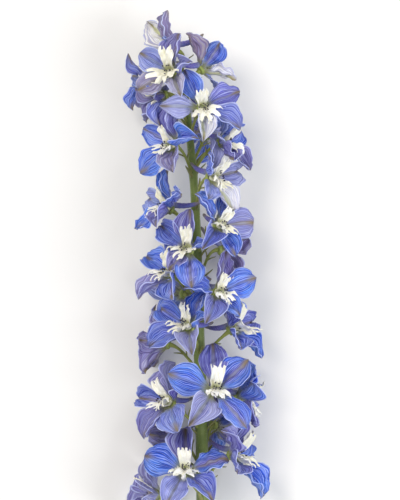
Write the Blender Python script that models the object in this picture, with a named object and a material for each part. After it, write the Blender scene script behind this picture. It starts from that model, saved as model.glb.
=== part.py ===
"""A cut delphinium flower spike lying on a table, at its real size.

One green solid is the stem with its pedicels and bracts. Each bloom is two solids:
the blue sepals with their spur, and the white inner petals, called the bee, with the
stamens. The stem lies along Y with its cut end at -Y and the tip of the spike at +Y.
X is to the right and Z is up, as seen by someone who looks down on the spike.
Lengths are millimetres and angles are degrees until a mesh is made.
"""

import math
import random
from dataclasses import dataclass, replace

import bmesh
import bpy
from mathutils import Matrix, Vector
from mathutils.bvhtree import BVHTree

MM = 0.001
SEED = 27

# The stem, with the stalk, or pedicel, of each bloom and the bract at its foot.
STEM_SIDES = 7
STEM_SEGMENTS = 10
PEDICEL_RADIUS = 0.85
PEDICEL_SIDES = 3
PEDICEL_SEGMENTS = 3
PEDICEL_CLIMB = 14.0
PEDICEL_PULL_UP = 4.0
PEDICEL_PULL_OUT = 5.0
PEDICEL_NECK = 7.0
RECEPTACLE_RADIUS = 1.35
BRACT_LENGTH = 10.0
BRACT_RADIUS = 0.95
BRACT_BELOW = 2.5

# The sepals and their spur.
SEPAL_LENGTH = 20.5
SEPAL_WIDTH = 14.0
SEPAL_THICKNESS = 0.7
SEPAL_ROOT = 1.7
HUB_RADIUS = 2.8
HUB_DEPTH = 1.5
SPUR_LENGTH = 15.0
SPUR_START = (0.0, 2.9, 0.3)
SPUR_COURSE = ((0.33, 0.41, -0.43), (0.73, 0.76, -0.77))
SPUR_RADII = (1.6, 1.3, 0.55)
SPUR_SIDES = 4

# The bee: the inner petals and the bundle of stamens between them.
BEE_THICKNESS = 0.65
BEE_ROOT = 1.15
BEE_HUB_RADIUS = 2.1
BEE_HUB_DEPTH = 1.5
STAMEN_LENGTH = 7.2
STAMEN_DROOP = 1.9
STAMEN_RADII = (0.5, 0.95)

# The gap where a solid sits on its neighbour, the room that bent sepals keep from
# everything else, and how far below the table a sepal may start before it is pressed flat.
SEAT_GAP = 0.3
CLEARANCE = 0.35
PRESS_LIMIT = 9.0

# The middle of the whole spike, measured in the layout below, which becomes the origin.
MIDDLE_X = -2.1
MIDDLE_Y = -37.8

# The stem's route as (along, across, height) of its centre, and its radius there.
STEM_ROUTE = (
    (-195.0, 2.5, 3.2, 3.4),
    (-160.0, 2.5, 9.0, 3.2),
    (-125.0, 1.5, 15.5, 3.0),
    (-75.0, 0.5, 21.5, 2.7),
    (-25.0, -1.0, 24.0, 2.4),
    (25.0, -2.5, 25.0, 2.0),
    (65.0, -6.0, 25.0, 1.6),
    (92.0, -9.5, 24.0, 1.1),
)


@dataclass
class Bloom:
    """One bloom.

    across and along place its heart, and rise is the heart's height over the stem.
    turn is 0 where it faces up, 90 where it faces right and -90 where it faces left.
    lift tilts its face towards the tip, roll turns it on its own axis, spread is the
    angle between its axis and its sepal tips, and size scales it. wind says which way
    round its sepals overlap.
    """

    name: str
    across: float
    along: float
    rise: float
    turn: float
    lift: float
    roll: float
    spread: float
    size: float
    wind: int


BLOOMS = (
    Bloom("01", -12.0, 100.0, 6, -80, 14, 0, 50, 1.00, 1),
    Bloom("02", -14.0, 88.5, 19, -22, 20, -8, 78, 0.92, -1),
    Bloom("03", 0.5, 90.0, 10, 115, 30, 0, 60, 0.95, 1),
    Bloom("04", -26.0, 84.0, -5, -110, 4, 0, 54, 0.76, 1),
    Bloom("05", -17.0, 77.5, 11, -82, -16, 0, 38, 0.92, 1),
    Bloom("06", 0.5, 71.0, 19, 12, 12, 20, 82, 1.00, -1),
    Bloom("07", -12.5, 52.0, 14, -50, 16, -6, 75, 1.00, -1),
    Bloom("08", 10.0, 53.5, 9, 62, 12, 0, 68, 0.92, 1),
    Bloom("09", 4.5, 36.0, 16, 57, 14, -10, 76, 1.02, 1),
    Bloom("10", -14.5, 20.0, 8, -68, 28, 0, 65, 0.95, -1),
    Bloom("11", 8.5, 12.0, 16, 42, 20, -20, 74, 1.00, 1),
    Bloom("12", -5.5, -0.5, 18, -18, 28, -10, 78, 1.00, -1),
    Bloom("13", -13.5, -12.5, 16, -46, 34, 0, 76, 1.02, 1),
    Bloom("14", 8.0, -21.5, 17, 35, 18, 0, 80, 1.03, 1),
    Bloom("15", 10.0, 0.0, -6, 108, -5, 0, 62, 0.95, 1),
    Bloom("16", -5.0, -39.0, 17, -34, 34, -14, 80, 1.05, -1),
    Bloom("17", 15.0, -40.5, 6, 70, 34, -12, 66, 1.02, 1),
    Bloom("18", -16.0, -47.5, -6.5, -105, 8, 0, 62, 0.95, 1),
    Bloom("19", -14.0, -77.0, 12, -60, 30, 22, 74, 1.08, -1),
    Bloom("20", 7.0, -70.5, 18, 14, 30, 0, 85, 1.18, -1),
    Bloom("21", 18.0, -75.0, -4, 92, 2, 0, 64, 1.00, 1),
    Bloom("22", 15.0, -103.0, 8, 68, 14, -6, 66, 1.08, 1),
    Bloom("23", -7.0, -111.0, 17, -8, 34, 0, 84, 1.12, -1),
    Bloom("24", -12.0, -95.5, -4.5, -100, 2, 0, 46, 1.00, 1),
    Bloom("25", -20.0, -124.0, 2, -80, 15, 0, 60, 1.05, 1),
    Bloom("26", 4.0, 58.0, -8, 160, 10, 0, 66, 0.90, 1),
    Bloom("27", -8.0, -22.0, -9, -155, 10, 0, 66, 0.95, 1),
    Bloom("28", 7.0, -88.0, -7.3, 160, 5, 0, 68, 1.00, 1),
)


@dataclass
class Petal:
    """A blade that leaves the hub at lean_start from the bloom's axis and ends at lean_end.

    twist turns it on its own length, so that each sepal lies over one neighbour and
    under the other. cup hollows its face. claw is its width at the root, as a share of
    the whole, waist how suddenly it widens from there, and widest where it is broadest.
    notch is the depth of the cut in its tip, as a share of its length.
    """

    length: float
    width: float
    lean_start: float
    lean_end: float
    twist: float
    cup: float
    claw: float
    waist: float
    widest: float
    notch: float
    thickness: float


SEPAL = Petal(SEPAL_LENGTH, SEPAL_WIDTH, 60, 85, 14, 0.3, 0.13, 1.8, 0.58, 0, SEPAL_THICKNESS)
BEE_UPPER = Petal(12.0, 3.4, 14, 50, 0, 0.3, 0.26, 1.2, 0.75, 0.1, BEE_THICKNESS)
BEE_LOWER = Petal(11.0, 7.0, 14, 76, 0, -0.15, 0.18, 2.2, 0.74, 0.24, BEE_THICKNESS)

# Where each sepal and each inner petal stands round the axis: 90 is towards the spur.
SEPAL_ANGLES = (90, 18, 162, -54, 234)
UPPER_ANGLES = (76, 104)
LOWER_ANGLES = (-54, 234)

# Stations along a blade, from root 0 to tip 1.
SEPAL_STATIONS = (0.0, 0.36, 0.78, 1.0)
UPPER_STATIONS = (0.0, 0.55, 1.0)
LOWER_STATIONS = (0.0, 0.5, 1.0)
NOTCHED_END = 0.9

# How far each piece may vary by its own random draw.
SEPAL_LEAN_VARIES = 7
SEPAL_ANGLE_VARIES = 5
SEPAL_LENGTHS = (0.94, 1.05)
SEPAL_WIDTHS = (0.92, 1.08)
BEE_VARIES = 8
BRACT_LENGTHS = (0.75, 1.1)
BRACT_SWAYS = 0.5

# Sepals that stand in a way of their own, by bloom and by their place round its axis:
# how far each is turned round the axis and opened, in degrees, and how it is scaled.
OWN_WAYS = {
    ("01", 162): (0, 0, 1.15),
    ("01", 234): (0, 0, 1.15),
    ("02", 18): (0, -25, 0.75),
    ("02", 234): (-16, 0, 1.0),
    ("06", 18): (-20, 0, 1.0),
    ("06", 234): (14, 0, 0.9),
    ("09", 90): (6, 0, 0.9),
    ("09", 162): (0, -34, 0.8),
    ("09", 234): (0, -10, 0.8),
    ("11", -54): (-15, 0, 0.85),
    ("12", 90): (10, 0, 1.0),
    ("12", 162): (-14, 0, 1.0),
    ("12", 234): (16, 0, 0.75),
    ("12", -54): (-14, 0, 1.0),
    ("12", 18): (-8, -25, 0.6),
    ("14", 90): (-22, 0, 1.0),
    ("14", 162): (15, 0, 0.9),
    ("14", -54): (-12, -20, 0.75),
    ("16", 162): (6, 0, 1.0),
    ("16", 234): (-10, 0, 1.1),
    ("16", -54): (12, 0, 1.0),
    ("16", 18): (0, -30, 0.7),
    ("19", -54): (0, 0, 1.1),
    ("20", -54): (-10, 0, 1.0),
    ("20", 18): (20, -18, 0.95),
    ("22", -54): (0, 0, 1.15),
    ("23", 18): (-8, 0, 0.95),
    ("23", 234): (14, 0, 1.0),
}

# The limits of a sepal's lean at its root and at its tip, and how far before and past
# the bloom's spread it starts and ends.
START_LEANS = (50, 78)
START_BEFORE = 16
END_LIMIT = 128
END_PAST = 12
START_SHARE = 0.6

# What is tried, each with the others, to bend a sepal or a spur clear of the rest.
SEPAL_CLOSINGS = (0, -8, 8, -16, 16, -24, 24, -34, 34, -46, 46)
SEPAL_SWINGS = (0, 7, -7, 14, -14, 21, -21)
SEPAL_SIZES = (1.0, 0.88, 0.76, 0.64, 0.52, 0.4)
SPUR_SWINGS = (0, 15, -15, 30, -30, 45, -45)
SPUR_SIZES = (1.0, 0.85, 0.7, 0.55, 0.4)

GREEN = (0.20, 0.30, 0.07)
BLUE = (0.13, 0.19, 0.62)
WHITE = (0.88, 0.86, 0.72)


def clear_scene():
    for thing in list(bpy.data.objects):
        bpy.data.objects.remove(thing)


def finish_of(name, colour, roughness):
    material = bpy.data.materials.new(name)
    material.use_nodes = True
    shader = material.node_tree.nodes["Principled BSDF"]
    shader.inputs["Base Color"].default_value = (*colour, 1.0)
    shader.inputs["Roughness"].default_value = roughness
    shader.inputs["Metallic"].default_value = 0.0
    return material


def draws(*words):
    """Random draws for one piece, which don't depend on those of any other piece."""
    return random.Random(" ".join(str(word) for word in (SEED, *words)))


def heading(angle):
    """The direction at an angle round the bloom's axis, in the bloom's own space."""
    turned = math.radians(angle)
    return Vector((math.cos(turned), math.sin(turned), 0))


def stem_point(along):
    """The stem's centre and radius at a distance along it, on a smooth curve."""
    route = STEM_ROUTE
    final = len(route) - 1
    along = min(max(along, route[0][0]), route[final][0])
    i = max(k for k in range(final) if route[k][0] <= along)
    before, here, there, after = (route[min(max(i + k, 0), final)] for k in (-1, 0, 1, 2))
    run = there[0] - here[0]
    t = (along - here[0]) / run
    values = []
    for k in (1, 2, 3):
        slope_in = (there[k] - before[k]) / (there[0] - before[0]) * run
        slope_out = (after[k] - here[k]) / (after[0] - here[0]) * run
        values.append(
            (2 * t**3 - 3 * t**2 + 1) * here[k]
            + (t**3 - 2 * t**2 + t) * slope_in
            + (3 * t**2 - 2 * t**3) * there[k]
            + (t**3 - t**2) * slope_out
        )
    return Vector((values[0], along, values[1])), values[2]


def bloom_frame(bloom):
    """The matrix from the bloom's own space, in which +Z is its axis and +Y its upper side."""
    turn, lift = math.radians(bloom.turn), math.radians(bloom.lift)
    face = Vector((math.sin(turn) * math.cos(lift), math.sin(lift), math.cos(turn) * math.cos(lift)))
    up = Vector((0, 1, 0)) - face * face.y
    up.normalize()
    side = up.cross(face)
    stem, _ = stem_point(bloom.along)
    heart = Vector((bloom.across, bloom.along, stem.z + bloom.rise))
    turned = Matrix((side, up, face)).transposed() @ Matrix.Rotation(math.radians(bloom.roll), 3, "Z")
    return Matrix.Translation(heart) @ turned.to_4x4()


def half_width(petal, s):
    """Half the blade's width at s: an arc out to the widest place, then an ellipse to the tip."""
    if s < petal.widest:
        grown = math.sin(math.pi / 2 * s / petal.widest) ** petal.waist
        return petal.width / 2 * (petal.claw + (1 - petal.claw) * grown)
    late = (s - petal.widest) / (1 - petal.widest)
    return petal.width / 2 * max(0.0, 1 - late**2) ** 0.75


def blade_rows(petal, angle, stations, root):
    """Rows of points of the blade's middle surface, in the bloom's own space."""
    twist = math.radians(petal.twist)
    out = heading(angle)
    across = heading(angle + 90)
    axis = Vector((0, 0, 1))
    point = root.copy()
    rows = []
    last = 0.0
    for s in stations:
        middle = (s + last) / 2
        step = math.radians(petal.lean_start + (petal.lean_end - petal.lean_start) * middle)
        point = point + (out * math.sin(step) + axis * math.cos(step)) * (s - last) * petal.length
        last = s
        here = math.radians(petal.lean_start + (petal.lean_end - petal.lean_start) * s)
        inward = axis * math.sin(here) - out * math.cos(here)
        along = out * math.sin(here) + axis * math.cos(here)
        half = half_width(petal, min(s, NOTCHED_END) if petal.notch else s)
        if half < 0.01:
            rows.append([point.copy()])
            continue
        sideways = across * math.cos(twist) + inward * math.sin(twist)
        upwards = inward * math.cos(twist) - across * math.sin(twist)
        row = []
        for u in (-1, 1) if s == stations[0] else (-1, 0, 1):
            edge = point + sideways * (u * half) + upwards * (petal.cup * half * u * u)
            if petal.notch and s == stations[-1] and u == 0:
                edge = edge - along * (petal.notch * petal.length)
            row.append(edge)
        rows.append(row)
    return rows


def strip(low, high):
    """Triangles between two rows of a blade, which narrow to 2 points at its root and 1 at its tip."""
    if len(high) == 1:
        return [(low[k], low[k + 1], high[0]) for k in range(len(low) - 1)]
    if len(low) == 2:
        return [(low[0], high[1], high[0]), (low[0], low[1], high[1]), (low[1], high[2], high[1])]
    left = [(low[0], low[1], high[1]), (low[0], high[1], high[0])]
    right = [(low[1], low[2], high[1]), (low[2], high[2], high[1])]
    return left + right


def thick_blade(rows, thickness):
    """Points and triangles of a blade that is thickness through, the same on both faces."""
    points, index = [], []
    for row in rows:
        index.append(list(range(len(points), len(points) + len(row))))
        points.extend(row)
    sheet = []
    for low, high in zip(index, index[1:]):
        sheet.extend(strip(low, high))
    normals = [Vector((0, 0, 0)) for _ in points]
    for a, b, c in sheet:
        normal = (points[b] - points[a]).cross(points[c] - points[a])
        for corner in (a, b, c):
            normals[corner] += normal
    shift = [normal.normalized() * (thickness / 2) for normal in normals]
    front = [p + d for p, d in zip(points, shift)]
    back = [p - d for p, d in zip(points, shift)]
    count = len(points)
    faces = list(sheet)
    faces.extend((c + count, b + count, a + count) for a, b, c in sheet)
    rim = [row[0] for row in reversed(index)] + index[0][1:-1] + [row[-1] for row in index]
    rim += list(reversed(index[-1][1:-1]))
    if len(index[-1]) == 1:
        rim.pop()
    for a, b in zip(rim, rim[1:] + rim[:1]):
        faces.extend(((a, a + count, b + count), (a, b + count, b)))
    return front + back, faces


def pressed(rows, placing, thickness):
    """The rows in the whole spike's space, with what would pass the table bent along it."""
    placed = [[placing @ point for point in row] for row in rows]
    lowest = min(point.z for row in placed for point in row)
    return [[Vector((p.x, p.y, max(p.z, thickness / 2))) for p in row] for row in placed], lowest


def on_table(piece):
    """A piece whose points are no lower than the table, which a tilted rim could be."""
    points, faces = piece
    return [Vector((p.x, p.y, max(p.z, 0.0))) for p in points], faces


def tube(points, radii, sides, facing=None):
    """Points and triangles of a closed tube along points, ending in a point where a radius is 0.

    facing, where it is given, is the way that the last ring looks.
    """
    ahead = (points[1] - points[0]).normalized()
    ring_x = ahead.orthogonal().normalized()
    rings, found, faces = [], [], []
    for k, (point, radius) in enumerate(zip(points, radii)):
        onward = points[min(k + 1, len(points) - 1)] - points[max(k - 1, 0)]
        if facing and k == len(points) - 1:
            onward = facing
        turned = ahead.rotation_difference(onward.normalized())
        ahead, ring_x = onward.normalized(), turned @ ring_x
        ring_y = ahead.cross(ring_x)
        start = len(found)
        if radius < 0.01:
            found.append(point.copy())
            rings.append([start])
            continue
        for n in range(sides):
            a = 2 * math.pi * n / sides
            found.append(point + (ring_x * math.cos(a) + ring_y * math.sin(a)) * radius)
        rings.append(list(range(start, start + sides)))
    for low, high in zip(rings, rings[1:]):
        for n in range(sides):
            m = (n + 1) % sides
            if len(high) == 1:
                faces.append((low[n], low[m], high[0]))
            else:
                faces.extend(((low[n], low[m], high[m]), (low[n], high[m], high[n])))
    faces.extend((rings[0][0], rings[0][n + 1], rings[0][n]) for n in range(1, sides - 1))
    if len(rings[-1]) > 1:
        faces.extend((rings[-1][0], rings[-1][n], rings[-1][n + 1]) for n in range(1, sides - 1))
    return found, faces


def curve_through(a, b, c, d, count):
    """Points on the cubic curve from a to d that is drawn towards b and c."""
    found = []
    for k in range(count + 1):
        t = k / count
        found.append(a * (1 - t) ** 3 + b * 3 * t * (1 - t) ** 2 + c * 3 * t**2 * (1 - t) + d * t**3)
    return found


def stem():
    first, last = STEM_ROUTE[0][0], STEM_ROUTE[-1][0]
    step = (last - first) / STEM_SEGMENTS
    stations = [stem_point(first + k * step) for k in range(STEM_SEGMENTS + 1)]
    return tube([point for point, _ in stations], [radius for _, radius in stations], STEM_SIDES)


def leaving(bloom, foot):
    """At a pedicel's foot, the way that the stem climbs and the way towards the bloom."""
    climb = (stem_point(bloom.along - PEDICEL_CLIMB + PEDICEL_PULL_OUT)[0] - foot).normalized()
    away = bloom_frame(bloom).translation - stem_point(bloom.along)[0]
    away = (away - climb * away.dot(climb)).normalized()
    return climb, away


def pedicel(bloom):
    """The stalk from the stem to just behind the bloom's hub, with the receptacle at its end."""
    placing = bloom_frame(bloom)
    face = placing.to_3x3() @ Vector((0, 0, 1))
    end = placing.translation - face * (HUB_DEPTH / 2 + SEAT_GAP)
    foot, _ = stem_point(bloom.along - PEDICEL_CLIMB)
    climb, away = leaving(bloom, foot)
    pull = foot + climb * PEDICEL_PULL_UP + away * PEDICEL_PULL_OUT
    line = curve_through(foot, pull, end - face * PEDICEL_NECK, end, PEDICEL_SEGMENTS)
    radii = [PEDICEL_RADIUS] * PEDICEL_SEGMENTS + [RECEPTACLE_RADIUS]
    return tube(line, radii, PEDICEL_SIDES, face)


def bract(bloom):
    """The narrow leaf at the foot of a pedicel."""
    rng = draws("bract", bloom.name)
    foot, radius = stem_point(bloom.along - PEDICEL_CLIMB - BRACT_BELOW)
    climb, away = leaving(bloom, foot)
    away = (away + climb.cross(away) * rng.uniform(-BRACT_SWAYS, BRACT_SWAYS)).normalized()
    reach = BRACT_LENGTH * rng.uniform(*BRACT_LENGTHS)
    start = foot + away * radius * 0.4
    return tube([start, start + (away * 0.9 + climb).normalized() * reach], [BRACT_RADIUS, 0.0], 3)


def boss(radius, bottom, top):
    """A five-sided prism on the bloom's axis with a flat side towards each sepal."""
    found, faces = [], []
    for z in (bottom, top):
        for n in range(5):
            corner = heading(54 + 72 * n) * radius
            found.append(Vector((corner.x, corner.y, z)))
    for n in range(5):
        m = (n + 1) % 5
        faces.extend(((n, m, m + 5), (n, m + 5, n + 5)))
    for n in (1, 2, 3):
        faces.extend(((0, n + 1, n), (5, n + 5, n + 6)))
    return found, faces


def hub():
    """The small boss that a bloom's sepals and spur grow from, in the bloom's own space."""
    return boss(HUB_RADIUS, -HUB_DEPTH / 2, HUB_DEPTH / 2)


def spur(bloom, swing, size, fatter):
    """The hollow spur behind the upper sepal: it runs back and then curves towards the tip."""
    reach = SPUR_LENGTH * size * bloom.size
    side = math.tan(math.radians(swing)) / size / bloom.size
    line = [Vector(SPUR_START)]
    for across, up, back in SPUR_COURSE:
        line.append(Vector((side * across, up, back)) * reach)
    return tube(line, [radius + fatter for radius in SPUR_RADII], SPUR_SIDES)


def bee_pieces(bloom):
    """The boss, four inner petals and stamens of one bloom, in the bloom's own space."""
    bottom = HUB_DEPTH / 2 + SEAT_GAP
    height = bottom + BEE_HUB_DEPTH * 0.6
    made = [boss(BEE_HUB_RADIUS, bottom, bottom + BEE_HUB_DEPTH)]
    for petal, angles, stations in (
        (BEE_UPPER, UPPER_ANGLES, UPPER_STATIONS),
        (BEE_LOWER, LOWER_ANGLES, LOWER_STATIONS),
    ):
        for angle in angles:
            rng = draws("bee", bloom.name, angle)
            own = replace(petal, length=petal.length * bloom.size, width=petal.width * bloom.size)
            own.lean_end = min(own.lean_end, bloom.spread) + rng.uniform(-BEE_VARIES, BEE_VARIES)
            if petal is BEE_UPPER:
                root = heading(90 + (angle - 90) * 2.4) * BEE_ROOT
            else:
                root = heading(angle) * BEE_ROOT
                angle += rng.uniform(-BEE_VARIES, BEE_VARIES)
            root.z = height
            made.append(thick_blade(blade_rows(own, angle, stations, root), own.thickness))
    tip = Vector((0, -STAMEN_DROOP, STAMEN_LENGTH)) * bloom.size
    made.append(tube([Vector((0, -0.1, height)), tip], STAMEN_RADII, 3))
    return made


def placed_piece(piece, placing):
    points, faces = piece
    return [placing @ p for p in points], faces


def tree_of(piece):
    return BVHTree.FromPolygons(*piece)


def crosses(piece, owner, obstacles):
    tree = tree_of(piece)
    return any(name != owner and tree.overlap(other) for name, other in obstacles)


def relief_tries():
    """Ways to bend a sepal clear of what is there already, the slightest first."""
    tries = []
    for close in SEPAL_CLOSINGS:
        for swing in SEPAL_SWINGS:
            for size in SEPAL_SIZES:
                cost = abs(close) / 12 + abs(swing) / 10 + (1 - size) * 9
                tries.append((cost, close, swing, size))
    return [entry[1:] for entry in sorted(tries)]


def own_sepal(bloom, angle):
    """The sepal of this bloom as its random draws and its own way make it, and its angle."""
    rng = draws("sepal", bloom.name, angle)
    turned, opened, scaled = OWN_WAYS.get((bloom.name, angle), (0, 0, 1.0))
    lean = bloom.spread + opened + rng.uniform(-SEPAL_LEAN_VARIES, SEPAL_LEAN_VARIES)
    angle = angle + turned + rng.uniform(-SEPAL_ANGLE_VARIES, SEPAL_ANGLE_VARIES)
    length = SEPAL.length * bloom.size * scaled * rng.uniform(*SEPAL_LENGTHS)
    width = SEPAL.width * bloom.size * scaled * rng.uniform(*SEPAL_WIDTHS)
    twist = SEPAL.twist * bloom.wind
    return replace(SEPAL, length=length, width=width, lean_end=lean, twist=twist), angle


def bent_sepal(petal, close, size):
    """The sepal closed towards the axis, or opened from it, and made smaller."""
    lean = petal.lean_end
    start = min(START_LEANS[1], max(START_LEANS[0], lean - START_BEFORE + close * START_SHARE))
    end = min(lean + END_PAST + close, END_LIMIT)
    return replace(
        petal, length=petal.length * size, width=petal.width * size, lean_start=start, lean_end=end
    )


def clear_sepal(bloom, place, obstacles):
    """The sepal as thick points and triangles, bent clear of every other bloom's solids."""
    placing = bloom_frame(bloom)
    owner = "sepals_" + bloom.name
    root = heading(place) * SEPAL_ROOT
    petal, angle = own_sepal(bloom, place)
    room = petal.thickness + 2 * CLEARANCE
    for close, swing, size in relief_tries():
        rows = blade_rows(bent_sepal(petal, close, size), angle + swing, SEPAL_STATIONS, root)
        flat, lowest = pressed(rows, placing, petal.thickness)
        if lowest < -PRESS_LIMIT:
            continue
        fat, _ = pressed(rows, placing, room)
        made = on_table(thick_blade(flat, petal.thickness))
        if crosses(on_table(thick_blade(fat[1:], room)), owner, obstacles):
            continue
        if not crosses(made, owner, obstacles):
            return made
    raise ValueError(f"no room for the sepal at {place} of bloom {bloom.name}")


def clear_spur(bloom, obstacles):
    """The spur, turned aside or made shorter where something stands behind the bloom."""
    placing = bloom_frame(bloom)
    for size in SPUR_SIZES:
        for swing in SPUR_SWINGS:
            fat = placed_piece(spur(bloom, swing, size, CLEARANCE), placing)
            if not crosses(fat, "sepals_" + bloom.name, obstacles):
                return placed_piece(spur(bloom, swing, size, 0), placing)
    raise ValueError(f"no room for the spur of bloom {bloom.name}")


def object_of(name, piece, material):
    mesh = bpy.data.meshes.new(name)
    points, faces = piece
    origin = Vector((MIDDLE_X, MIDDLE_Y, 0))
    mesh.from_pydata([(p - origin) * MM for p in points], [], faces)
    shape = bmesh.new()
    shape.from_mesh(mesh)
    bmesh.ops.recalc_face_normals(shape, faces=shape.faces)
    shape.to_mesh(mesh)
    shape.free()
    mesh.materials.append(material)
    made = bpy.data.objects.new(name, mesh)
    bpy.context.scene.collection.objects.link(made)
    return made


def fused(name, pieces, material):
    """One object whose pieces are joined in one closed body by a Boolean union."""
    body = object_of(name, pieces[0], material)
    others = bpy.data.collections.new(name + ".parts")
    bpy.context.scene.collection.children.link(others)
    for k, piece in enumerate(pieces[1:]):
        part = object_of(f"{name}.{k}", piece, material)
        bpy.context.scene.collection.objects.unlink(part)
        others.objects.link(part)
    union = body.modifiers.new("join", "BOOLEAN")
    union.operation = "UNION"
    union.operand_type = "COLLECTION"
    union.collection = others
    union.solver = "EXACT"
    bpy.context.view_layer.objects.active = body
    bpy.ops.object.modifier_apply(modifier=union.name)
    for part in list(others.objects):
        bpy.data.objects.remove(part)
    bpy.data.collections.remove(others)
    return body


def build():
    clear_scene()
    green = finish_of("stem_green", GREEN, 0.55)
    blue = finish_of("sepal_blue", BLUE, 0.6)
    white = finish_of("bee_white", WHITE, 0.65)

    stalk = [stem()]
    for bloom in BLOOMS:
        stalk.append(pedicel(bloom))
        stalk.append(bract(bloom))
    obstacles = [("stem", tree_of(piece)) for piece in stalk]

    bees, petals = {}, {}
    for bloom in BLOOMS:
        placing = bloom_frame(bloom)
        bees[bloom.name] = [placed_piece(piece, placing) for piece in bee_pieces(bloom)]
        petals[bloom.name] = [placed_piece(hub(), placing)]
        obstacles.extend(("bee_" + bloom.name, tree_of(piece)) for piece in bees[bloom.name])
        obstacles.append(("sepals_" + bloom.name, tree_of(petals[bloom.name][0])))

    # The blooms that stand highest keep their form, and those below bend clear of them.
    highest_first = sorted(BLOOMS, key=lambda bloom: -bloom.rise)
    for bloom in highest_first:
        made = clear_spur(bloom, obstacles)
        petals[bloom.name].append(made)
        obstacles.append(("sepals_" + bloom.name, tree_of(made)))
    for bloom in highest_first:
        for place in SEPAL_ANGLES:
            made = clear_sepal(bloom, place, obstacles)
            petals[bloom.name].append(made)
            obstacles.append(("sepals_" + bloom.name, tree_of(made)))

    fused("stem", stalk, green)
    for bloom in BLOOMS:
        fused("sepals_" + bloom.name, petals[bloom.name], blue)
        fused("bee_" + bloom.name, bees[bloom.name], white)


build()
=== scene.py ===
# %% [markdown]
# # A cut delphinium spike
#
# A delphinium carries its blooms on short stalks round one green stem. What looks like five
# blue petals are sepals, and one of them runs back into a hollow spur. The small white inner
# petals, which gardeners call the bee, sit in the middle with the stamens. This script gives
# the measured solids of such a spike their fine surface. It starts from the solids, because
# they say where each bloom stands, and everything is drawn on them in the same space.

# %% Load the measured solids
import math
import random
from dataclasses import dataclass, replace

import bmesh
import bpy
from mathutils import Matrix, Vector, noise
from mathutils.kdtree import KDTree


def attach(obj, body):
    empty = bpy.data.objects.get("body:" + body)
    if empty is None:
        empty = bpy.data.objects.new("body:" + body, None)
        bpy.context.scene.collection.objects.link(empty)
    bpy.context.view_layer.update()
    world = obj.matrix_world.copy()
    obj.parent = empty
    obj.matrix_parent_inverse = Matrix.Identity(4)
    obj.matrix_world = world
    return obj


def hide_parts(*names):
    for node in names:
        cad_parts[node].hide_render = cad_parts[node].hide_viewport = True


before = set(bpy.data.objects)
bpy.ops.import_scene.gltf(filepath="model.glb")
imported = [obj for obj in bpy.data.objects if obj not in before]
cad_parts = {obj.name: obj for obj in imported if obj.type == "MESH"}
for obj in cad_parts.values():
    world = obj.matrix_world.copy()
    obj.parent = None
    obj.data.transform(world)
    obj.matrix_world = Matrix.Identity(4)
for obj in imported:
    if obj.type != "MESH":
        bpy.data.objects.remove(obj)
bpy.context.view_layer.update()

MM = 0.001
SEED = 27

# %% [markdown]
# ## The camera
#
# The picture was taken squarely from the front of the spike. This one lies on a table, so the
# camera hangs above it. A picture of 400 by 500 pixels covers 200 by 250 mm of the spike, and
# a long lens far away keeps the high blooms from looking larger than the low ones.

# %% Place the camera
PICTURE_HEIGHT = 250 * MM
PICTURE_MIDDLE = Vector((2.1, 37.8, 35.0)) * MM
FOCAL_LENGTH = 400.0
SENSOR = 36.0


def in_scene(name, data):
    """A new object in the scene, for a lens, a lamp or a mesh."""
    thing = bpy.data.objects.new(name, data)
    bpy.context.scene.collection.objects.link(thing)
    return thing


lens = bpy.data.cameras.new("above_the_spike")
lens.lens = FOCAL_LENGTH
lens.sensor_width = SENSOR
camera = in_scene("above_the_spike", lens)
camera.location = PICTURE_MIDDLE + Vector((0, 0, PICTURE_HEIGHT * FOCAL_LENGTH / SENSOR))
bpy.context.scene.camera = camera
print("camera height:", round(camera.location.z, 3), "m")

# %% [markdown]
# ## Light and floor
#
# Thin petals want broad soft light, or their folds turn black. One large lamp on the upper
# left draws the shadows, a weaker one on the right opens them, and a pale sky fills the rest.
# The Standard view keeps a colour as it was mixed, where the default view would grey it.

# %% Colours by their usual code
def colour(code):
    """The linear red, green, blue and alpha of an sRGB hex colour."""
    shares = [int(code[k : k + 2], 16) / 255 for k in (1, 3, 5)]
    steps = [c / 12.92 if c <= 0.04045 else ((c + 0.055) / 1.055) ** 2.4 for c in shares]
    return (*steps, 1.0)


# %% Lamps and sky
SKY = "#eef1f6"
SKY_STRENGTH = 0.74
LAMPS = (
    ("key", (-1.1, 1.0, 2.7), 1.2, 42.0, "#fff8ee"),
    ("fill", (1.9, -0.6, 2.0), 1.6, 34.0, "#f3f6ff"),
)

bpy.context.scene.view_settings.view_transform = "Standard"
world = bpy.data.worlds.new("pale_sky")
world.use_nodes = True
world.node_tree.nodes["Background"].inputs["Color"].default_value = colour(SKY)
world.node_tree.nodes["Background"].inputs["Strength"].default_value = SKY_STRENGTH
bpy.context.scene.world = world
for name, spot, size, power, code in LAMPS:
    lamp = bpy.data.lights.new(name, "AREA")
    lamp.size = size
    lamp.energy = power
    lamp.color = colour(code)[:3]
    holder = in_scene(name, lamp)
    holder.location = spot
    holder.rotation_mode = "QUATERNION"
    holder.rotation_quaternion = (PICTURE_MIDDLE - holder.location).to_track_quat("-Z", "Y")
print("lamps:", len(LAMPS))


# %% Add a node to a material
def add(material, kind, inputs=None, **settings):
    """Add a node with its settings, and link or set its inputs.

    A node given for an input stands for the first of its outputs that is in use.
    """
    node = material.node_tree.nodes.new(kind)
    for name, value in settings.items():
        setattr(node, name, value)
    for socket, value in (inputs or {}).items():
        if isinstance(value, bpy.types.Node):
            value = next(output for output in value.outputs if output.enabled)
        if isinstance(value, bpy.types.NodeSocket):
            material.node_tree.links.new(value, node.inputs[socket])
        else:
            node.inputs[socket].default_value = value
    return node


def empty_material(name):
    material = bpy.data.materials.new(name)
    material.use_nodes = True
    material.node_tree.nodes.clear()
    return material


# %% The floor
FLOOR_WIDTH = 6.0
FLOOR_DROP = 0.2 * MM

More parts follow.
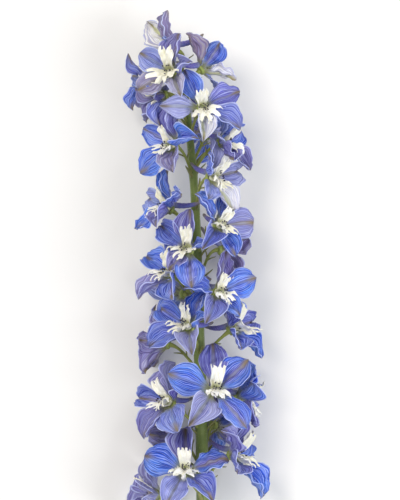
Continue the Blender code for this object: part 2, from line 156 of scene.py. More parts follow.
paper = empty_material("matt_paper_floor")
cloud = add(paper, "ShaderNodeTexNoise", {"Scale": 3.0, "Detail": 2.0})
tone = add(
    paper,
    "ShaderNodeMix",
    {"Factor": cloud, 6: colour("#f1efeb"), 7: colour("#f6f5f1")},
    data_type="RGBA",
)
matt = add(paper, "ShaderNodeBsdfPrincipled", {"Base Color": tone, "Roughness": 0.9})
add(paper, "ShaderNodeOutputMaterial", {"Surface": matt})


def primitive(name, make, **settings):
    """A new primitive with a name of its own, which alone is selected."""
    bpy.ops.object.select_all(action="DESELECT")
    make(**settings)
    piece = bpy.context.object
    piece.name = name
    return piece


spot = (0, 0, -FLOOR_DROP)
floor = primitive("floor", bpy.ops.mesh.primitive_plane_add, size=FLOOR_WIDTH, location=spot)
floor.data.materials.append(paper)
print("floor:", FLOOR_WIDTH, "m wide")

# %% [markdown]
# ## Where the blooms stand
#
# The blooms follow the same rules as the solids: a route for the stem, a table of blooms, and
# a form for each kind of petal. Repeating the rules is better than tracing the solids, since a
# fine sepal is then bent as a sepal is, along one smooth curve from its claw to its tip.

# %% The stem's route, and a point on it
STEM_ROUTE = (
    (-195.0, 2.5, 3.2, 3.4),
    (-160.0, 2.5, 9.0, 3.2),
    (-125.0, 1.5, 15.5, 3.0),
    (-75.0, 0.5, 21.5, 2.7),
    (-25.0, -1.0, 24.0, 2.4),
    (25.0, -2.5, 25.0, 2.0),
    (65.0, -6.0, 25.0, 1.6),
    (92.0, -9.5, 24.0, 1.1),
)
MIDDLE = Vector((-2.1, -37.8, 0.0))


def stem_point(along):
    """The stem's centre and radius at a distance along it, on a smooth curve, in mm."""
    route = STEM_ROUTE
    final = len(route) - 1
    along = min(max(along, route[0][0]), route[final][0])
    i = max(k for k in range(final) if route[k][0] <= along)
    before, here, there, after = (route[min(max(i + k, 0), final)] for k in (-1, 0, 1, 2))
    run = there[0] - here[0]
    t = (along - here[0]) / run
    values = []
    for k in (1, 2, 3):
        slope_in = (there[k] - before[k]) / (there[0] - before[0]) * run
        slope_out = (after[k] - here[k]) / (after[0] - here[0]) * run
        values.append(
            (2 * t**3 - 3 * t**2 + 1) * here[k]
            + (t**3 - 2 * t**2 + t) * slope_in
            + (3 * t**2 - 2 * t**3) * there[k]
            + (t**3 - t**2) * slope_out
        )
    return Vector((values[0], along, values[1])), values[2]


print("stem:", STEM_ROUTE[-1][0] - STEM_ROUTE[0][0], "mm long")


# %% The blooms
@dataclass
class Bloom:
    """One bloom, with its heart at across and along, and rise above the stem.

    turn is 0 where it faces up, 90 where it faces right and -90 where it faces left. lift
    tilts its face towards the tip, roll turns it on its axis, spread is the angle between
    the axis and its sepal tips, and wind says which way round its sepals overlap.
    """

    name: str
    across: float
    along: float
    rise: float
    turn: float
    lift: float
    roll: float
    spread: float
    size: float
    wind: int


BLOOMS = (
    Bloom("01", -12.0, 100.0, 6, -80, 14, 0, 50, 1.00, 1),
    Bloom("02", -14.0, 88.5, 19, -22, 20, -8, 78, 0.92, -1),
    Bloom("03", 0.5, 90.0, 10, 115, 30, 0, 60, 0.95, 1),
    Bloom("04", -26.0, 84.0, -5, -110, 4, 0, 54, 0.76, 1),
    Bloom("05", -17.0, 77.5, 11, -82, -16, 0, 38, 0.92, 1),
    Bloom("06", 0.5, 71.0, 19, 12, 12, 20, 82, 1.00, -1),
    Bloom("07", -12.5, 52.0, 14, -50, 16, -6, 75, 1.00, -1),
    Bloom("08", 10.0, 53.5, 9, 62, 12, 0, 68, 0.92, 1),
    Bloom("09", 4.5, 36.0, 16, 57, 14, -10, 76, 1.02, 1),
    Bloom("10", -14.5, 20.0, 8, -68, 28, 0, 65, 0.95, -1),
    Bloom("11", 8.5, 12.0, 16, 42, 20, -20, 74, 1.00, 1),
    Bloom("12", -5.5, -0.5, 18, -18, 28, -10, 78, 1.00, -1),
    Bloom("13", -13.5, -12.5, 16, -46, 34, 0, 76, 1.02, 1),
    Bloom("14", 8.0, -21.5, 17, 35, 18, 0, 80, 1.03, 1),
    Bloom("15", 10.0, 0.0, -6, 108, -5, 0, 62, 0.95, 1),
    Bloom("16", -5.0, -39.0, 17, -34, 34, -14, 80, 1.05, -1),
    Bloom("17", 15.0, -40.5, 6, 70, 34, -12, 66, 1.02, 1),
    Bloom("18", -16.0, -47.5, -6.5, -105, 8, 0, 62, 0.95, 1),
    Bloom("19", -14.0, -77.0, 12, -60, 30, 22, 74, 1.08, -1),
    Bloom("20", 7.0, -70.5, 18, 14, 30, 0, 85, 1.18, -1),
    Bloom("21", 18.0, -75.0, -4, 92, 2, 0, 64, 1.00, 1),
    Bloom("22", 15.0, -103.0, 8, 68, 14, -6, 66, 1.08, 1),
    Bloom("23", -7.0, -111.0, 17, -8, 34, 0, 84, 1.12, -1),
    Bloom("24", -12.0, -95.5, -4.5, -100, 2, 0, 46, 1.00, 1),
    Bloom("25", -20.0, -124.0, 2, -80, 15, 0, 60, 1.05, 1),
    Bloom("26", 4.0, 58.0, -8, 160, 10, 0, 66, 0.90, 1),
    Bloom("27", -8.0, -22.0, -9, -155, 10, 0, 66, 0.95, 1),
    Bloom("28", 7.0, -88.0, -7.3, 160, 5, 0, 68, 1.00, 1),
)


def bloom_frame(bloom):
    """The matrix from the bloom's own space, in which +Z is its axis and +Y its upper side."""
    turn, lift = math.radians(bloom.turn), math.radians(bloom.lift)
    face = Vector((math.sin(turn) * math.cos(lift), math.sin(lift), math.cos(turn) * math.cos(lift)))
    up = Vector((0, 1, 0)) - face * face.y
    up.normalize()
    side = up.cross(face)
    stem, _ = stem_point(bloom.along)
    heart = Vector((bloom.across, bloom.along, stem.z + bloom.rise))
    turned = Matrix((side, up, face)).transposed() @ Matrix.Rotation(math.radians(bloom.roll), 3, "Z")
    return Matrix.Translation(heart) @ turned.to_4x4()


print("blooms:", len(BLOOMS))


# %% The forms of sepals and inner petals
@dataclass
class Petal:
    """A blade that leaves the hub at lean_start from the bloom's axis and ends at lean_end.

    twist turns it on its own length and cup hollows its face. claw is its width at the
    root, as a share of the whole, waist how suddenly it widens from there, and widest
    where it is broadest.
    """

    length: float
    width: float
    lean_start: float
    lean_end: float
    twist: float
    cup: float
    claw: float
    waist: float
    widest: float


SEPAL = Petal(20.5, 14.0, 60, 85, 14, 0.3, 0.13, 1.8, 0.58)
BEE_UPPER = Petal(12.0, 3.4, 14, 50, 0, 0.3, 0.26, 1.2, 0.75)
BEE_LOWER = Petal(11.0, 7.0, 14, 76, 0, -0.15, 0.18, 2.2, 0.74)
SEPAL_ANGLES = (90, 18, 162, -54, 234)
UPPER_ANGLES = (76, 104)
LOWER_ANGLES = (-54, 234)
SEPAL_ROOT = 1.7
BEE_ROOT = 1.15
HUB_RADIUS = 2.8
HUB_DEPTH = 1.5
BEE_HUB_RADIUS = 2.1
BEE_HUB_DEPTH = 1.5
SEAT_GAP = 0.3
SOLID_WALL = 0.7


def draws(*words):
    """Random draws for one piece, which don't depend on those of any other piece."""
    return random.Random(" ".join(str(word) for word in (SEED, *words)))


def heading(angle):
    """The direction at an angle round the bloom's axis, in the bloom's own space."""
    turned = math.radians(angle)
    return Vector((math.cos(turned), math.sin(turned), 0))


def half_width(petal, s):
    """Half the blade's width at s: an arc out to the widest place, then an ellipse to the tip."""
    if s < petal.widest:
        grown = math.sin(math.pi / 2 * max(s, 0.0) / petal.widest) ** petal.waist
        return petal.width / 2 * (petal.claw + (1 - petal.claw) * grown)
    late = (s - petal.widest) / (1 - petal.widest)
    return petal.width / 2 * max(0.0, 1 - late**2) ** 0.75


def spine(petal, angle, root, s):
    """The blade's middle line at s, which is an arc, and the ways across and inward there."""
    start, end = math.radians(petal.lean_start), math.radians(petal.lean_end)
    lean = start + (end - start) * s
    half_turn = (lean - start) / 2
    chord = petal.length * s * (math.sin(half_turn) / half_turn if half_turn else 1.0)
    out, side, axis = heading(angle), heading(angle - 90), Vector((0, 0, 1))
    middle = (start + lean) / 2
    point = root + (out * math.sin(middle) + axis * math.cos(middle)) * chord
    inward = axis * math.sin(lean) - out * math.cos(lean)
    twist = math.radians(petal.twist)
    sideways = side * math.cos(twist) - inward * math.sin(twist)
    upwards = inward * math.cos(twist) + side * math.sin(twist)
    return point, sideways, upwards


print("sepal:", SEPAL.length, "by", SEPAL.width, "mm")

# %% [markdown]
# ## Each sepal's own bend
#
# On the spike each sepal gives way a little to its neighbours: it closes towards its bloom's
# axis or opens from it, swings aside, or stays smaller. The solids already hold that, so the
# script tries the same few bends in the same order, and keeps the one whose tip and edges lie
# on the solid. A corner of the solid stands half the solid's wall away from the middle line.

# %% Find a sepal's bend on its solid
SEPAL_LEAN_VARIES = 7
SEPAL_ANGLE_VARIES = 5
SEPAL_LENGTHS = (0.94, 1.05)
SEPAL_WIDTHS = (0.92, 1.08)
OWN_WAYS = {
    ("01", 162): (0, 0, 1.15),
    ("01", 234): (0, 0, 1.15),
    ("02", 18): (0, -25, 0.75),
    ("02", 234): (-16, 0, 1.0),
    ("06", 18): (-20, 0, 1.0),
    ("06", 234): (14, 0, 0.9),
    ("09", 90): (6, 0, 0.9),
    ("09", 162): (0, -34, 0.8),
    ("09", 234): (0, -10, 0.8),
    ("11", -54): (-15, 0, 0.85),
    ("12", 90): (10, 0, 1.0),
    ("12", 162): (-14, 0, 1.0),
    ("12", 234): (16, 0, 0.75),
    ("12", -54): (-14, 0, 1.0),
    ("12", 18): (-8, -25, 0.6),
    ("14", 90): (-22, 0, 1.0),
    ("14", 162): (15, 0, 0.9),
    ("14", -54): (-12, -20, 0.75),
    ("16", 162): (6, 0, 1.0),
    ("16", 234): (-10, 0, 1.1),
    ("16", -54): (12, 0, 1.0),
    ("16", 18): (0, -30, 0.7),
    ("19", -54): (0, 0, 1.1),
    ("20", -54): (-10, 0, 1.0),
    ("20", 18): (20, -18, 0.95),
    ("22", -54): (0, 0, 1.15),
    ("23", 18): (-8, 0, 0.95),
    ("23", 234): (14, 0, 1.0),
}
START_LEANS = (50, 78)
START_BEFORE = 16
START_SHARE = 0.6
END_LIMIT = 128
END_PAST = 12
SEPAL_CLOSINGS = (0, -8, 8, -16, 16, -24, 24, -34, 34, -46, 46)
SEPAL_SWINGS = (0, 7, -7, 14, -14, 21, -21)
SEPAL_SIZES = (1.0, 0.88, 0.76, 0.64, 0.52, 0.4)
CLOSING_UNIT = 12
SWING_UNIT = 10
SIZE_COST = 9
EDGE_STATIONS = (0.36, 0.78)
CLOSE_ENOUGH = 0.3
FAR_ENOUGH = 1.0


def own_sepal(bloom, angle):
    """The sepal of this bloom as its random draws and its own way make it, and its angle."""
    rng = draws("sepal", bloom.name, angle)
    turned, opened, scaled = OWN_WAYS.get((bloom.name, angle), (0, 0, 1.0))
    lean = bloom.spread + opened + rng.uniform(-SEPAL_LEAN_VARIES, SEPAL_LEAN_VARIES)
    angle = angle + turned + rng.uniform(-SEPAL_ANGLE_VARIES, SEPAL_ANGLE_VARIES)
    length = SEPAL.length * bloom.size * scaled * rng.uniform(*SEPAL_LENGTHS)
    width = SEPAL.width * bloom.size * scaled * rng.uniform(*SEPAL_WIDTHS)
    twist = SEPAL.twist * bloom.wind
    return replace(SEPAL, length=length, width=width, lean_end=lean, twist=twist), angle


def bent_sepal(petal, close, size):
    """The sepal closed towards the axis, or opened from it, and made smaller."""
    lean = petal.lean_end
    start = min(START_LEANS[1], max(START_LEANS[0], lean - START_BEFORE + close * START_SHARE))
    end = min(lean + END_PAST + close, END_LIMIT)
    return replace(
        petal, length=petal.length * size, width=petal.width * size, lean_start=start, lean_end=end
    )


def bends():
    """The bends that the solids may use, the slightest first."""
    tries = []
    for close in SEPAL_CLOSINGS:
        for swing in SEPAL_SWINGS:
            for size in SEPAL_SIZES:
                cost = abs(close) / CLOSING_UNIT + abs(swing) / SWING_UNIT + (1 - size) * SIZE_COST
                tries.append((cost, close, swing, size))
    return [entry[1:] for entry in sorted(tries)]


def corners_of(node):
    """A finder of the nearest corner of a solid, in mm in the layout's own frame."""
    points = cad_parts[node].data.vertices
    tree = KDTree(len(points))
    for point in points:
        tree.insert(point.co / MM + MIDDLE, point.index)
    tree.balance()
    return tree


def on_table(point, half_wall):
    """The point, or the one above it that a blade lying on the table has there."""
    return Vector((point.x, point.y, max(point.z, half_wall)))


def misfit(petal, angle, root, placing, corners):
    """How far the blade's tip and edges are from where the solid's corners put them."""
    marks = [spine(petal, angle, root, 1.0)[0]]
    for s in EDGE_STATIONS:
        point, sideways, upwards = spine(petal, angle, root, s)
        half = half_width(petal, s)
        marks += [point + sideways * (side * half) + upwards * (petal.cup * half) for side in (-1, 1)]
    gaps = []
    for mark in marks:
        placed = on_table(placing @ mark, SOLID_WALL / 2)
        gaps.append(min(abs(corners.find(placed)[2] - SOLID_WALL / 2), FAR_ENOUGH))
    return sum(gaps)


def sepal_as_built(bloom, place, corners):
    """The sepal and its angle, bent as its solid is."""
    petal, angle = own_sepal(bloom, place)
    root = heading(place) * SEPAL_ROOT
    placing = bloom_frame(bloom)
    best = None
    for close, swing, size in bends():
        tried = bent_sepal(petal, close, size)
        gap = misfit(tried, angle + swing, root, placing, corners)
        if best is None or gap < best[0]:
            best = (gap, tried, angle + swing)
        if gap < CLOSE_ENOUGH:
            break
    return best


found = {}
for bloom in BLOOMS:
    corners = corners_of("sepals_" + bloom.name)
    for place in SEPAL_ANGLES:
        found[bloom.name, place] = sepal_as_built(bloom, place, corners)
worst = max(gap for gap, _, _ in found.values())
print("sepals found:", len(found), "worst fit:", round(worst, 2), "mm")

# %% [markdown]
# ## The flat patterns
#
# A dressmaker cuts a pattern flat and lets it take its curve on the body. A sepal is made the
# same way here: it is modelled once, flat and at its real size, with its outline, its veins
# and its wall, and each copy is then bent along its own curve. Modelling 140 curved blades one
# by one would be slow, and a modifier could not follow so many different bends.

# %% Choose what an edit-mode operator works on
def choose(wanted, kind="VERT"):
    """Select the corners, edges or faces of the mesh in edit mode whose middle is wanted."""
    kinds = ("VERT", "EDGE", "FACE")
    bpy.context.tool_settings.mesh_select_mode = [kind == k for k in kinds]
    bpy.ops.mesh.select_all(action="DESELECT")
    mesh = bpy.context.object.data
    shape = bmesh.from_edit_mesh(mesh)
    count = 0
    for element in (shape.verts, shape.edges, shape.faces)[kinds.index(kind)]:
        if kind == "VERT":
            middle = element.co
        else:
            middle = sum((corner.co for corner in element.verts), Vector()) / len(element.verts)
        if wanted(middle):
            element.select_set(True)
            count += 1
    shape.select_flush_mode()
    bmesh.update_edit_mesh(mesh)
    return count


def near(value, target, within=0.01):
    return abs(value - target) < within


def strap(name, width, length, columns, rows):
    """A flat strap that runs along +Y from the origin, in edit mode, in mm."""
    grid = {"x_subdivisions": columns, "y_subdivisions": rows, "size": 2}
    piece = primitive(name, bpy.ops.mesh.primitive_grid_add, **grid)
    bpy.ops.object.mode_set(mode="EDIT")
    bpy.ops.transform.resize(value=(width / 2, length / 2, 1))
    bpy.ops.transform.translate(value=(0, length / 2, 0))
    return piece


def cut_outline(petal, rows, narrowest=0.0, until=math.inf):
    """Draw the rows of the strap in to the petal's outline, up to a share of its length."""
    for k in range(rows + 1):
        if k / rows < until:
            choose(lambda co: near(co.y, petal.length * k / rows))
            share = max(half_width(petal, k / rows), narrowest) / (petal.width / 2)
            bpy.ops.transform.resize(value=(share, 1, 1), center_override=(0, 0, 0))


def modified(piece, kind, **settings):
    """Give the piece a modifier with these settings, and apply it."""
    modifier = piece.modifiers.new(kind.lower(), kind)
    for name, value in settings.items():
        setattr(modifier, name, value)
    bpy.ops.object.modifier_apply(modifier=modifier.name)


def give_wall(piece, thickness, rounds=0, layered=True):
    """A wall round the flat sheet, where layered with back and rim in materials of their own."""
    bpy.ops.object.mode_set(mode="OBJECT")
    slots = {"material_offset": 1, "material_offset_rim": 2} if layered else {}
    modified(piece, "SOLIDIFY", thickness=thickness, offset=0, **slots)
    if rounds:
        modified(piece, "SUBSURF", levels=rounds, render_levels=rounds)
    bpy.ops.object.shade_smooth()


# %% [markdown]
# ## The sepal pattern
#
# A delphinium sepal is broad beyond its middle, narrows to a claw, and ends in a small thick
# gland. Seven veins run from the claw to the tip. They stand up a little from the face and
# follow the outline, so they are columns of the strap: when its rows are drawn in, the veins
# draw together too. The middle one lies in a groove, which is a keel on the back.

# %% Model the sepal
SEPAL_COLUMNS = 16
SEPAL_ROWS = 22
SEPAL_WALL = 0.34
GLAND_HALF = 0.38
VEIN_RISE = 0.07
GROOVE = 0.22
GROOVE_ENDS = 0.97

sepal_flat = strap("sepal_flat", SEPAL.width, SEPAL.length, SEPAL_COLUMNS, SEPAL_ROWS)
column = SEPAL.width / SEPAL_COLUMNS
for vein in (-6, -4, -2, 2, 4, 6):
    choose(lambda co: near(co.x, vein * column))
    bpy.ops.transform.translate(value=(0, 0, VEIN_RISE))
choose(lambda co: near(co.x, 0) and co.y < SEPAL.length * GROOVE_ENDS)
bpy.ops.transform.translate(value=(0, 0, -GROOVE))
cut_outline(SEPAL, SEPAL_ROWS, GLAND_HALF)
choose(lambda co: near(co.y, SEPAL.length))
bpy.ops.mesh.merge(type="CENTER")
give_wall(sepal_flat, SEPAL_WALL)
print("sepal pattern:", len(sepal_flat.data.polygons), "faces,", *sepal_flat.dimensions)

# %% [markdown]
# ## The inner petals
#
# The two upper ones stand side by side as a short tongue, each with a cut tip. The two lower
# ones hang in front. On some blooms they are thick white mittens with short lobes, on others
# fringes of slender fingers, so there are two patterns for them. The fingers are made by
# deleting faces from the strap, and a round of subdivision softens the cut edges.

# %% Model the upper petal
BEE_WALL = 0.46
UPPER_COLUMNS = 5
UPPER_ROWS = 12
LOBE_CUT = 0.84
CORNER_COLUMN = 2.4
CORNER_FROM = 0.7
CORNER_STEP = (0, -0.9, 0.25)
SHORTER_LOBE_FROM = 0.85
SHORTER_LOBE_STEP = (0.2, -0.8, 0.1)
UPPER_FULLEST = 0.86
UPPER_NARROWEST = 0.4

upper_flat = strap("upper_flat", BEE_UPPER.width, BEE_UPPER.length, UPPER_COLUMNS, UPPER_ROWS)
column = BEE_UPPER.width / UPPER_COLUMNS
choose(lambda co: near(co.x, 0) and co.y > BEE_UPPER.length * LOBE_CUT, "FACE")
bpy.ops.mesh.delete(type="FACE")
choose(lambda co: abs(co.x) > column * CORNER_COLUMN and co.y > BEE_UPPER.length * CORNER_FROM)
bpy.ops.transform.translate(value=CORNER_STEP)
choose(lambda co: co.x > 0 and co.y > BEE_UPPER.length * SHORTER_LOBE_FROM)
bpy.ops.transform.translate(value=SHORTER_LOBE_STEP)
full = replace(BEE_UPPER, widest=UPPER_FULLEST)
cut_outline(full, UPPER_ROWS, BEE_UPPER.width * UPPER_NARROWEST)
give_wall(upper_flat, BEE_WALL, 1, layered=False)
print("upper petal pattern:", len(upper_flat.data.polygons), "faces")

# %% Model the two kinds of lower petal
LOWER_COLUMNS = 11
LOWER_ROWS = 11
FRINGES = {
    "mitten": (((-2, 0.74), (2, 0.66)), ((-3.75, 1.7, -2.2), (0.0, 1.5, 0.3), (3.75, 1.7, -1.4))),
    "fringe": (
        ((-3, 0.6), (0, 0.48), (3, 0.7)),
        ((-4.5, 1.1, -2.6), (-1.5, 1.1, 0.5), (1.5, 1.1, -0.9), (4.5, 1.1, -2.4)),
    ),
}
FINGER_SHARES = (0.7, 0.8, 0.9, 1.0)
FINGER_FANS = 0.03
FINGER_RISES = 0.12
TIP_DEPTH = 0.2
TIP_MARGIN = 0.3
TIP_OUT = 1.1
TIP_NARROWS = 0.5


def lower_pattern(name, slits, fingers):
    """A broad petal with slits at columns from given heights, and its fingers made uneven.

    A finger is given by its middle and its half width in columns, and by how much longer
    than the strap it is in mm. It fans out and rises a little in each of a few rows.
    """
    piece = strap(name, BEE_LOWER.width, BEE_LOWER.length, LOWER_COLUMNS, LOWER_ROWS)
    column = BEE_LOWER.width / LOWER_COLUMNS
    for slit, start in slits:
        choose(lambda co: near(co.x, slit * column) and co.y > BEE_LOWER.length * start, "FACE")
        bpy.ops.mesh.delete(type="FACE")
    for middle, reach, longer in fingers:
        centre = middle * column
        step = (middle * FINGER_FANS, longer / len(FINGER_SHARES), FINGER_RISES)
        for share in FINGER_SHARES:
            height = BEE_LOWER.length * share
            choose(lambda co: abs(co.x - centre) < column * reach and co.y > height - 0.01)
            bpy.ops.transform.translate(value=step)
        top = BEE_LOWER.length + longer - TIP_DEPTH
        fanned = centre * TIP_OUT
        choose(lambda co: abs(co.x - fanned) < column * (reach + TIP_MARGIN) and co.y > top)
        bpy.ops.transform.resize(value=(TIP_NARROWS, 1, 1), center_override=(fanned, 0, 0))
    cut_outline(BEE_LOWER, LOWER_ROWS, until=min(start for _, start in slits))
    give_wall(piece, BEE_WALL, 1, layered=False)
    print(name, "petal pattern:", len(piece.data.polygons), "faces")
    return piece


lower_flats = [lower_pattern(name, *form) for name, form in FRINGES.items()]
BEE_PATTERNS = (upper_flat, *lower_flats)


# %% Lay a pattern along a petal's curve
UNTINTED = (0.0, 0.0, 0.0)


@dataclass
class Feel:
    """How one blade differs from its pattern.

    wave is the height in mm of the waves in its rim, waves their number, and left and right
    where they start on each side. fold closes the blade along its middle, roll turns its
    rims up, crease wrinkles it in mm, curl lifts its tip, point draws its tip in, ragged
    shifts its end unevenly, and wide spreads it. tint is lilac, pale and brown, and seed
    sets its streaks.
    """

    wave: float = 0.1
    waves: float = 1.0
    left: float = 0.0
    right: float = 0.3
    fold: float = 0.0
    roll: float = 0.0
    crease: float = 0.0
    curl: float = 0.0
    point: float = 0.0
    ragged: float = 0.0
    wide: float = 1.0
    tint: tuple = UNTINTED
    seed: float = 0.5


CURL_START = 0.72
POINT_START = 0.5
POINT_ROUND = 1.3
FOLD_ROUND = 0.12
FOLD_NARROWS = 0.2
FOLD_GROWS = 2.5
CREASE_GROWS = 3
BLADES_APART = 50
OUTERMOST = 1.2
CREASES_ACROSS = 0.55
CREASES_ALONG = 0.28
RAGGED_ACROSS = 0.9
SMALL_STEP = 0.02
LOWEST = 0.02


def rise_at(petal, feel, u, s, half):
    """How far the blade rises from its middle line, at a share u of its half width."""
    s = min(max(s, 0.0), 1.0)
    edge = abs(u)
    phase = feel.left if u < 0 else feel.right
    swell = math.sin(math.pi * s)
    rise = petal.cup * half * edge**2
    crook = math.hypot(u, FOLD_ROUND) - FOLD_ROUND
    rise += feel.fold * half * crook * min(1.0, FOLD_GROWS * s)
    rise += feel.wave * math.sin(math.tau * (s * feel.waves + phase)) * swell * edge**3
    rise += feel.roll * half * edge**4 * swell
    rise += feel.curl * (max(0.0, s - CURL_START) / (1 - CURL_START)) ** 2
    if feel.crease:
        across, along = u * half * CREASES_ACROSS, s * petal.length * CREASES_ALONG
        wrinkle = noise.noise(Vector((across, along, feel.seed * BLADES_APART)))
        rise += feel.crease * wrinkle * min(1.0, CREASE_GROWS * s)
    return rise


def lay(flat, name, pattern, petal, angle, root, placing, feel):
    """A copy of the flat pattern, bent along the petal's own curve and placed in its bloom."""
    mesh = flat.data.copy()
    turned = placing.to_3x3()
    wider = petal.width / pattern.width
    for vertex in mesh.vertices:
        x, y, z = vertex.co
        s = y / pattern.length
        if feel.ragged:
            uneven = noise.noise(Vector((x * RAGGED_ACROSS, 0, feel.seed * BLADES_APART)))
            s += feel.ragged / pattern.length * uneven * max(s, 0.0) ** 2
        point, sideways, upwards = spine(petal, angle, root, s)
        half = max(half_width(petal, s), GLAND_HALF * wider)
        u = max(-OUTERMOST, min(OUTERMOST, x * wider / half))
        late = max(0.0, min(1.0, (s - POINT_START) / (1 - POINT_START)))
        pointed = 1 - feel.point * late**POINT_ROUND
        narrowed = feel.wide * (1 - FOLD_NARROWS * feel.fold) * pointed
        rise = rise_at(petal, feel, u, s, half)
        slope = (rise_at(petal, feel, u + SMALL_STEP, s, half) - rise) / (SMALL_STEP * half)
        climb = (rise_at(petal, feel, u, s + SMALL_STEP, half) - rise) / (SMALL_STEP * petal.length)
        ahead = upwards.cross(sideways)
        normal = (turned @ (upwards - sideways * slope - ahead * climb)).normalized()
        across = sideways * (x * wider * narrowed)
        middle = on_table(placing @ (point + across + upwards * rise), SEPAL_WALL / 2)
        vertex.co = (on_table(middle + normal * z, LOWEST) - MIDDLE) * MM
    mesh.attributes.new("tint", "FLOAT_COLOR", "POINT")
    colours = [*feel.tint, feel.seed] * len(mesh.vertices)
    mesh.attributes["tint"].data.foreach_set("color", colours)
    return in_scene(name, mesh)


# %% [markdown]
# ## Stalks and tubes
#
# The stem, the bloom stalks and the spurs are all round things that follow a curve. Each is a
# cylinder cut into many rings and laid along its own line, with a radius that changes from
# ring to ring. A curve object with a bevel could do this too, but it would not give the ribs
# of the stem or the swelling under a bloom.

# %% Model a tube, and lay it along a line
def rod(name, sides, rings):
    """A closed tube of radius 1 that runs along +Y from 0 to 1, cut into rings."""
    lying = {"location": (0, 0.5, 0), "rotation": (-math.pi / 2, 0, 0)}
    cylinder = bpy.ops.mesh.primitive_cylinder_add
    piece = primitive(name, cylinder, vertices=sides, radius=1, depth=1, **lying)
    bpy.ops.object.transform_apply(location=True, rotation=True, scale=True)
    bpy.ops.object.mode_set(mode="EDIT")
    choose(lambda co: near(co.y, 0.5), "EDGE")
    bpy.ops.mesh.subdivide(number_cuts=rings - 1)
    bpy.ops.object.mode_set(mode="OBJECT")
    bpy.ops.object.shade_smooth()
    return piece


def string(flat, name, line, radius_at, placing):
    """A copy of the tube, laid along a line of points and given a radius at each place."""
    mesh = flat.data.copy()
    last = len(line) - 1
    ahead = (line[1] - line[0]).normalized()
    side = ahead.orthogonal().normalized()
    frames = []
    for k, point in enumerate(line):
        onward = (line[min(k + 1, last)] - line[max(k - 1, 0)]).normalized()
        side = ahead.rotation_difference(onward) @ side
        ahead = onward
        frames.append((point, side.copy(), ahead.cross(side)))
    for vertex in mesh.vertices:
        x, y, z = vertex.co
        k = min(int(y * last), last - 1)
        t = y * last - k
        point, side, up = (low.lerp(high, t) for low, high in zip(frames[k], frames[k + 1]))
        placed = placing @ (point + (side * x + up * z) * radius_at(y))
        vertex.co = (on_table(placed, LOWEST) - MIDDLE) * MM
    return in_scene(name, mesh)


def curve_through(a, b, c, d, count):
    """Points on the cubic curve from a to d that is drawn towards b and c."""
    points = []
    for k in range(count + 1):
        t = k / count
        points.append(a * (1 - t) ** 3 + b * 3 * t * (1 - t) ** 2 + c * 3 * t**2 * (1 - t) + d * t**3)
    return points


def merged(pieces):
    """The first of the pieces, with the others joined to it."""
    bpy.ops.object.select_all(action="DESELECT")
    for piece in pieces:
        piece.select_set(True)
    bpy.context.view_layer.objects.active = pieces[0]
    if len(pieces) > 1:
        bpy.ops.object.join()
    return pieces[0]


def joined(pieces, name):
    """The pieces as one object that rides on the spike."""
    whole = merged(pieces)
    whole.name = name
    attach(whole, "root")
    return whole


ROD_RINGS = 14
SPUR_SIDES = 10
STALK_SIDES = 8

spur_rod = rod("spur_rod", SPUR_SIDES, ROD_RINGS)
pedicel_rod = rod("pedicel_rod", STALK_SIDES, ROD_RINGS)
print("rods:", len(spur_rod.data.polygons), "and", len(pedicel_rod.data.polygons), "faces")

# %% [markdown]
# ## The finish of a sepal
#
# A fresh petal is matt to satin: the light goes a little way into the wet cells and comes out
# soft, so it has a mid roughness and the IOR of water-filled tissue. Its colour comes in
# layers, as on the flower. Patches of deep and bright cobalt lie under streaks that run from
# claw to tip. A lilac band follows the middle, with a thin olive line in it, stronger on some
# sepals than on others, and pale veins run over it all. The pale rim is a painted highlight,
# and the claw is greenish. Olive brown runs down the middle into the tip. The pattern's UV
# map follows the blade: U runs across it and V from claw to tip.

# %% Where a point is on its blade
# The streaks and veins are counted across a blade. A sepal is about 14 mm at its widest, so a
# streak is about 0.8 mm wide, and the veins are 1.8 and 0.7 mm apart. The cells' size is in
# mm. Real cells are far finer, and are drawn as coarse as they need to be to show.
STREAKS_ACROSS = 18.0
STREAKS_ALONG = 0.8
STREAKS_APART = 40.0
VEINS_ACROSS = 8.0
FINE_VEINS_ACROSS = 19.0
VEIN_WANDER = 0.03
CELL_SIZE = 0.5
TIP_POINTED = 0.4


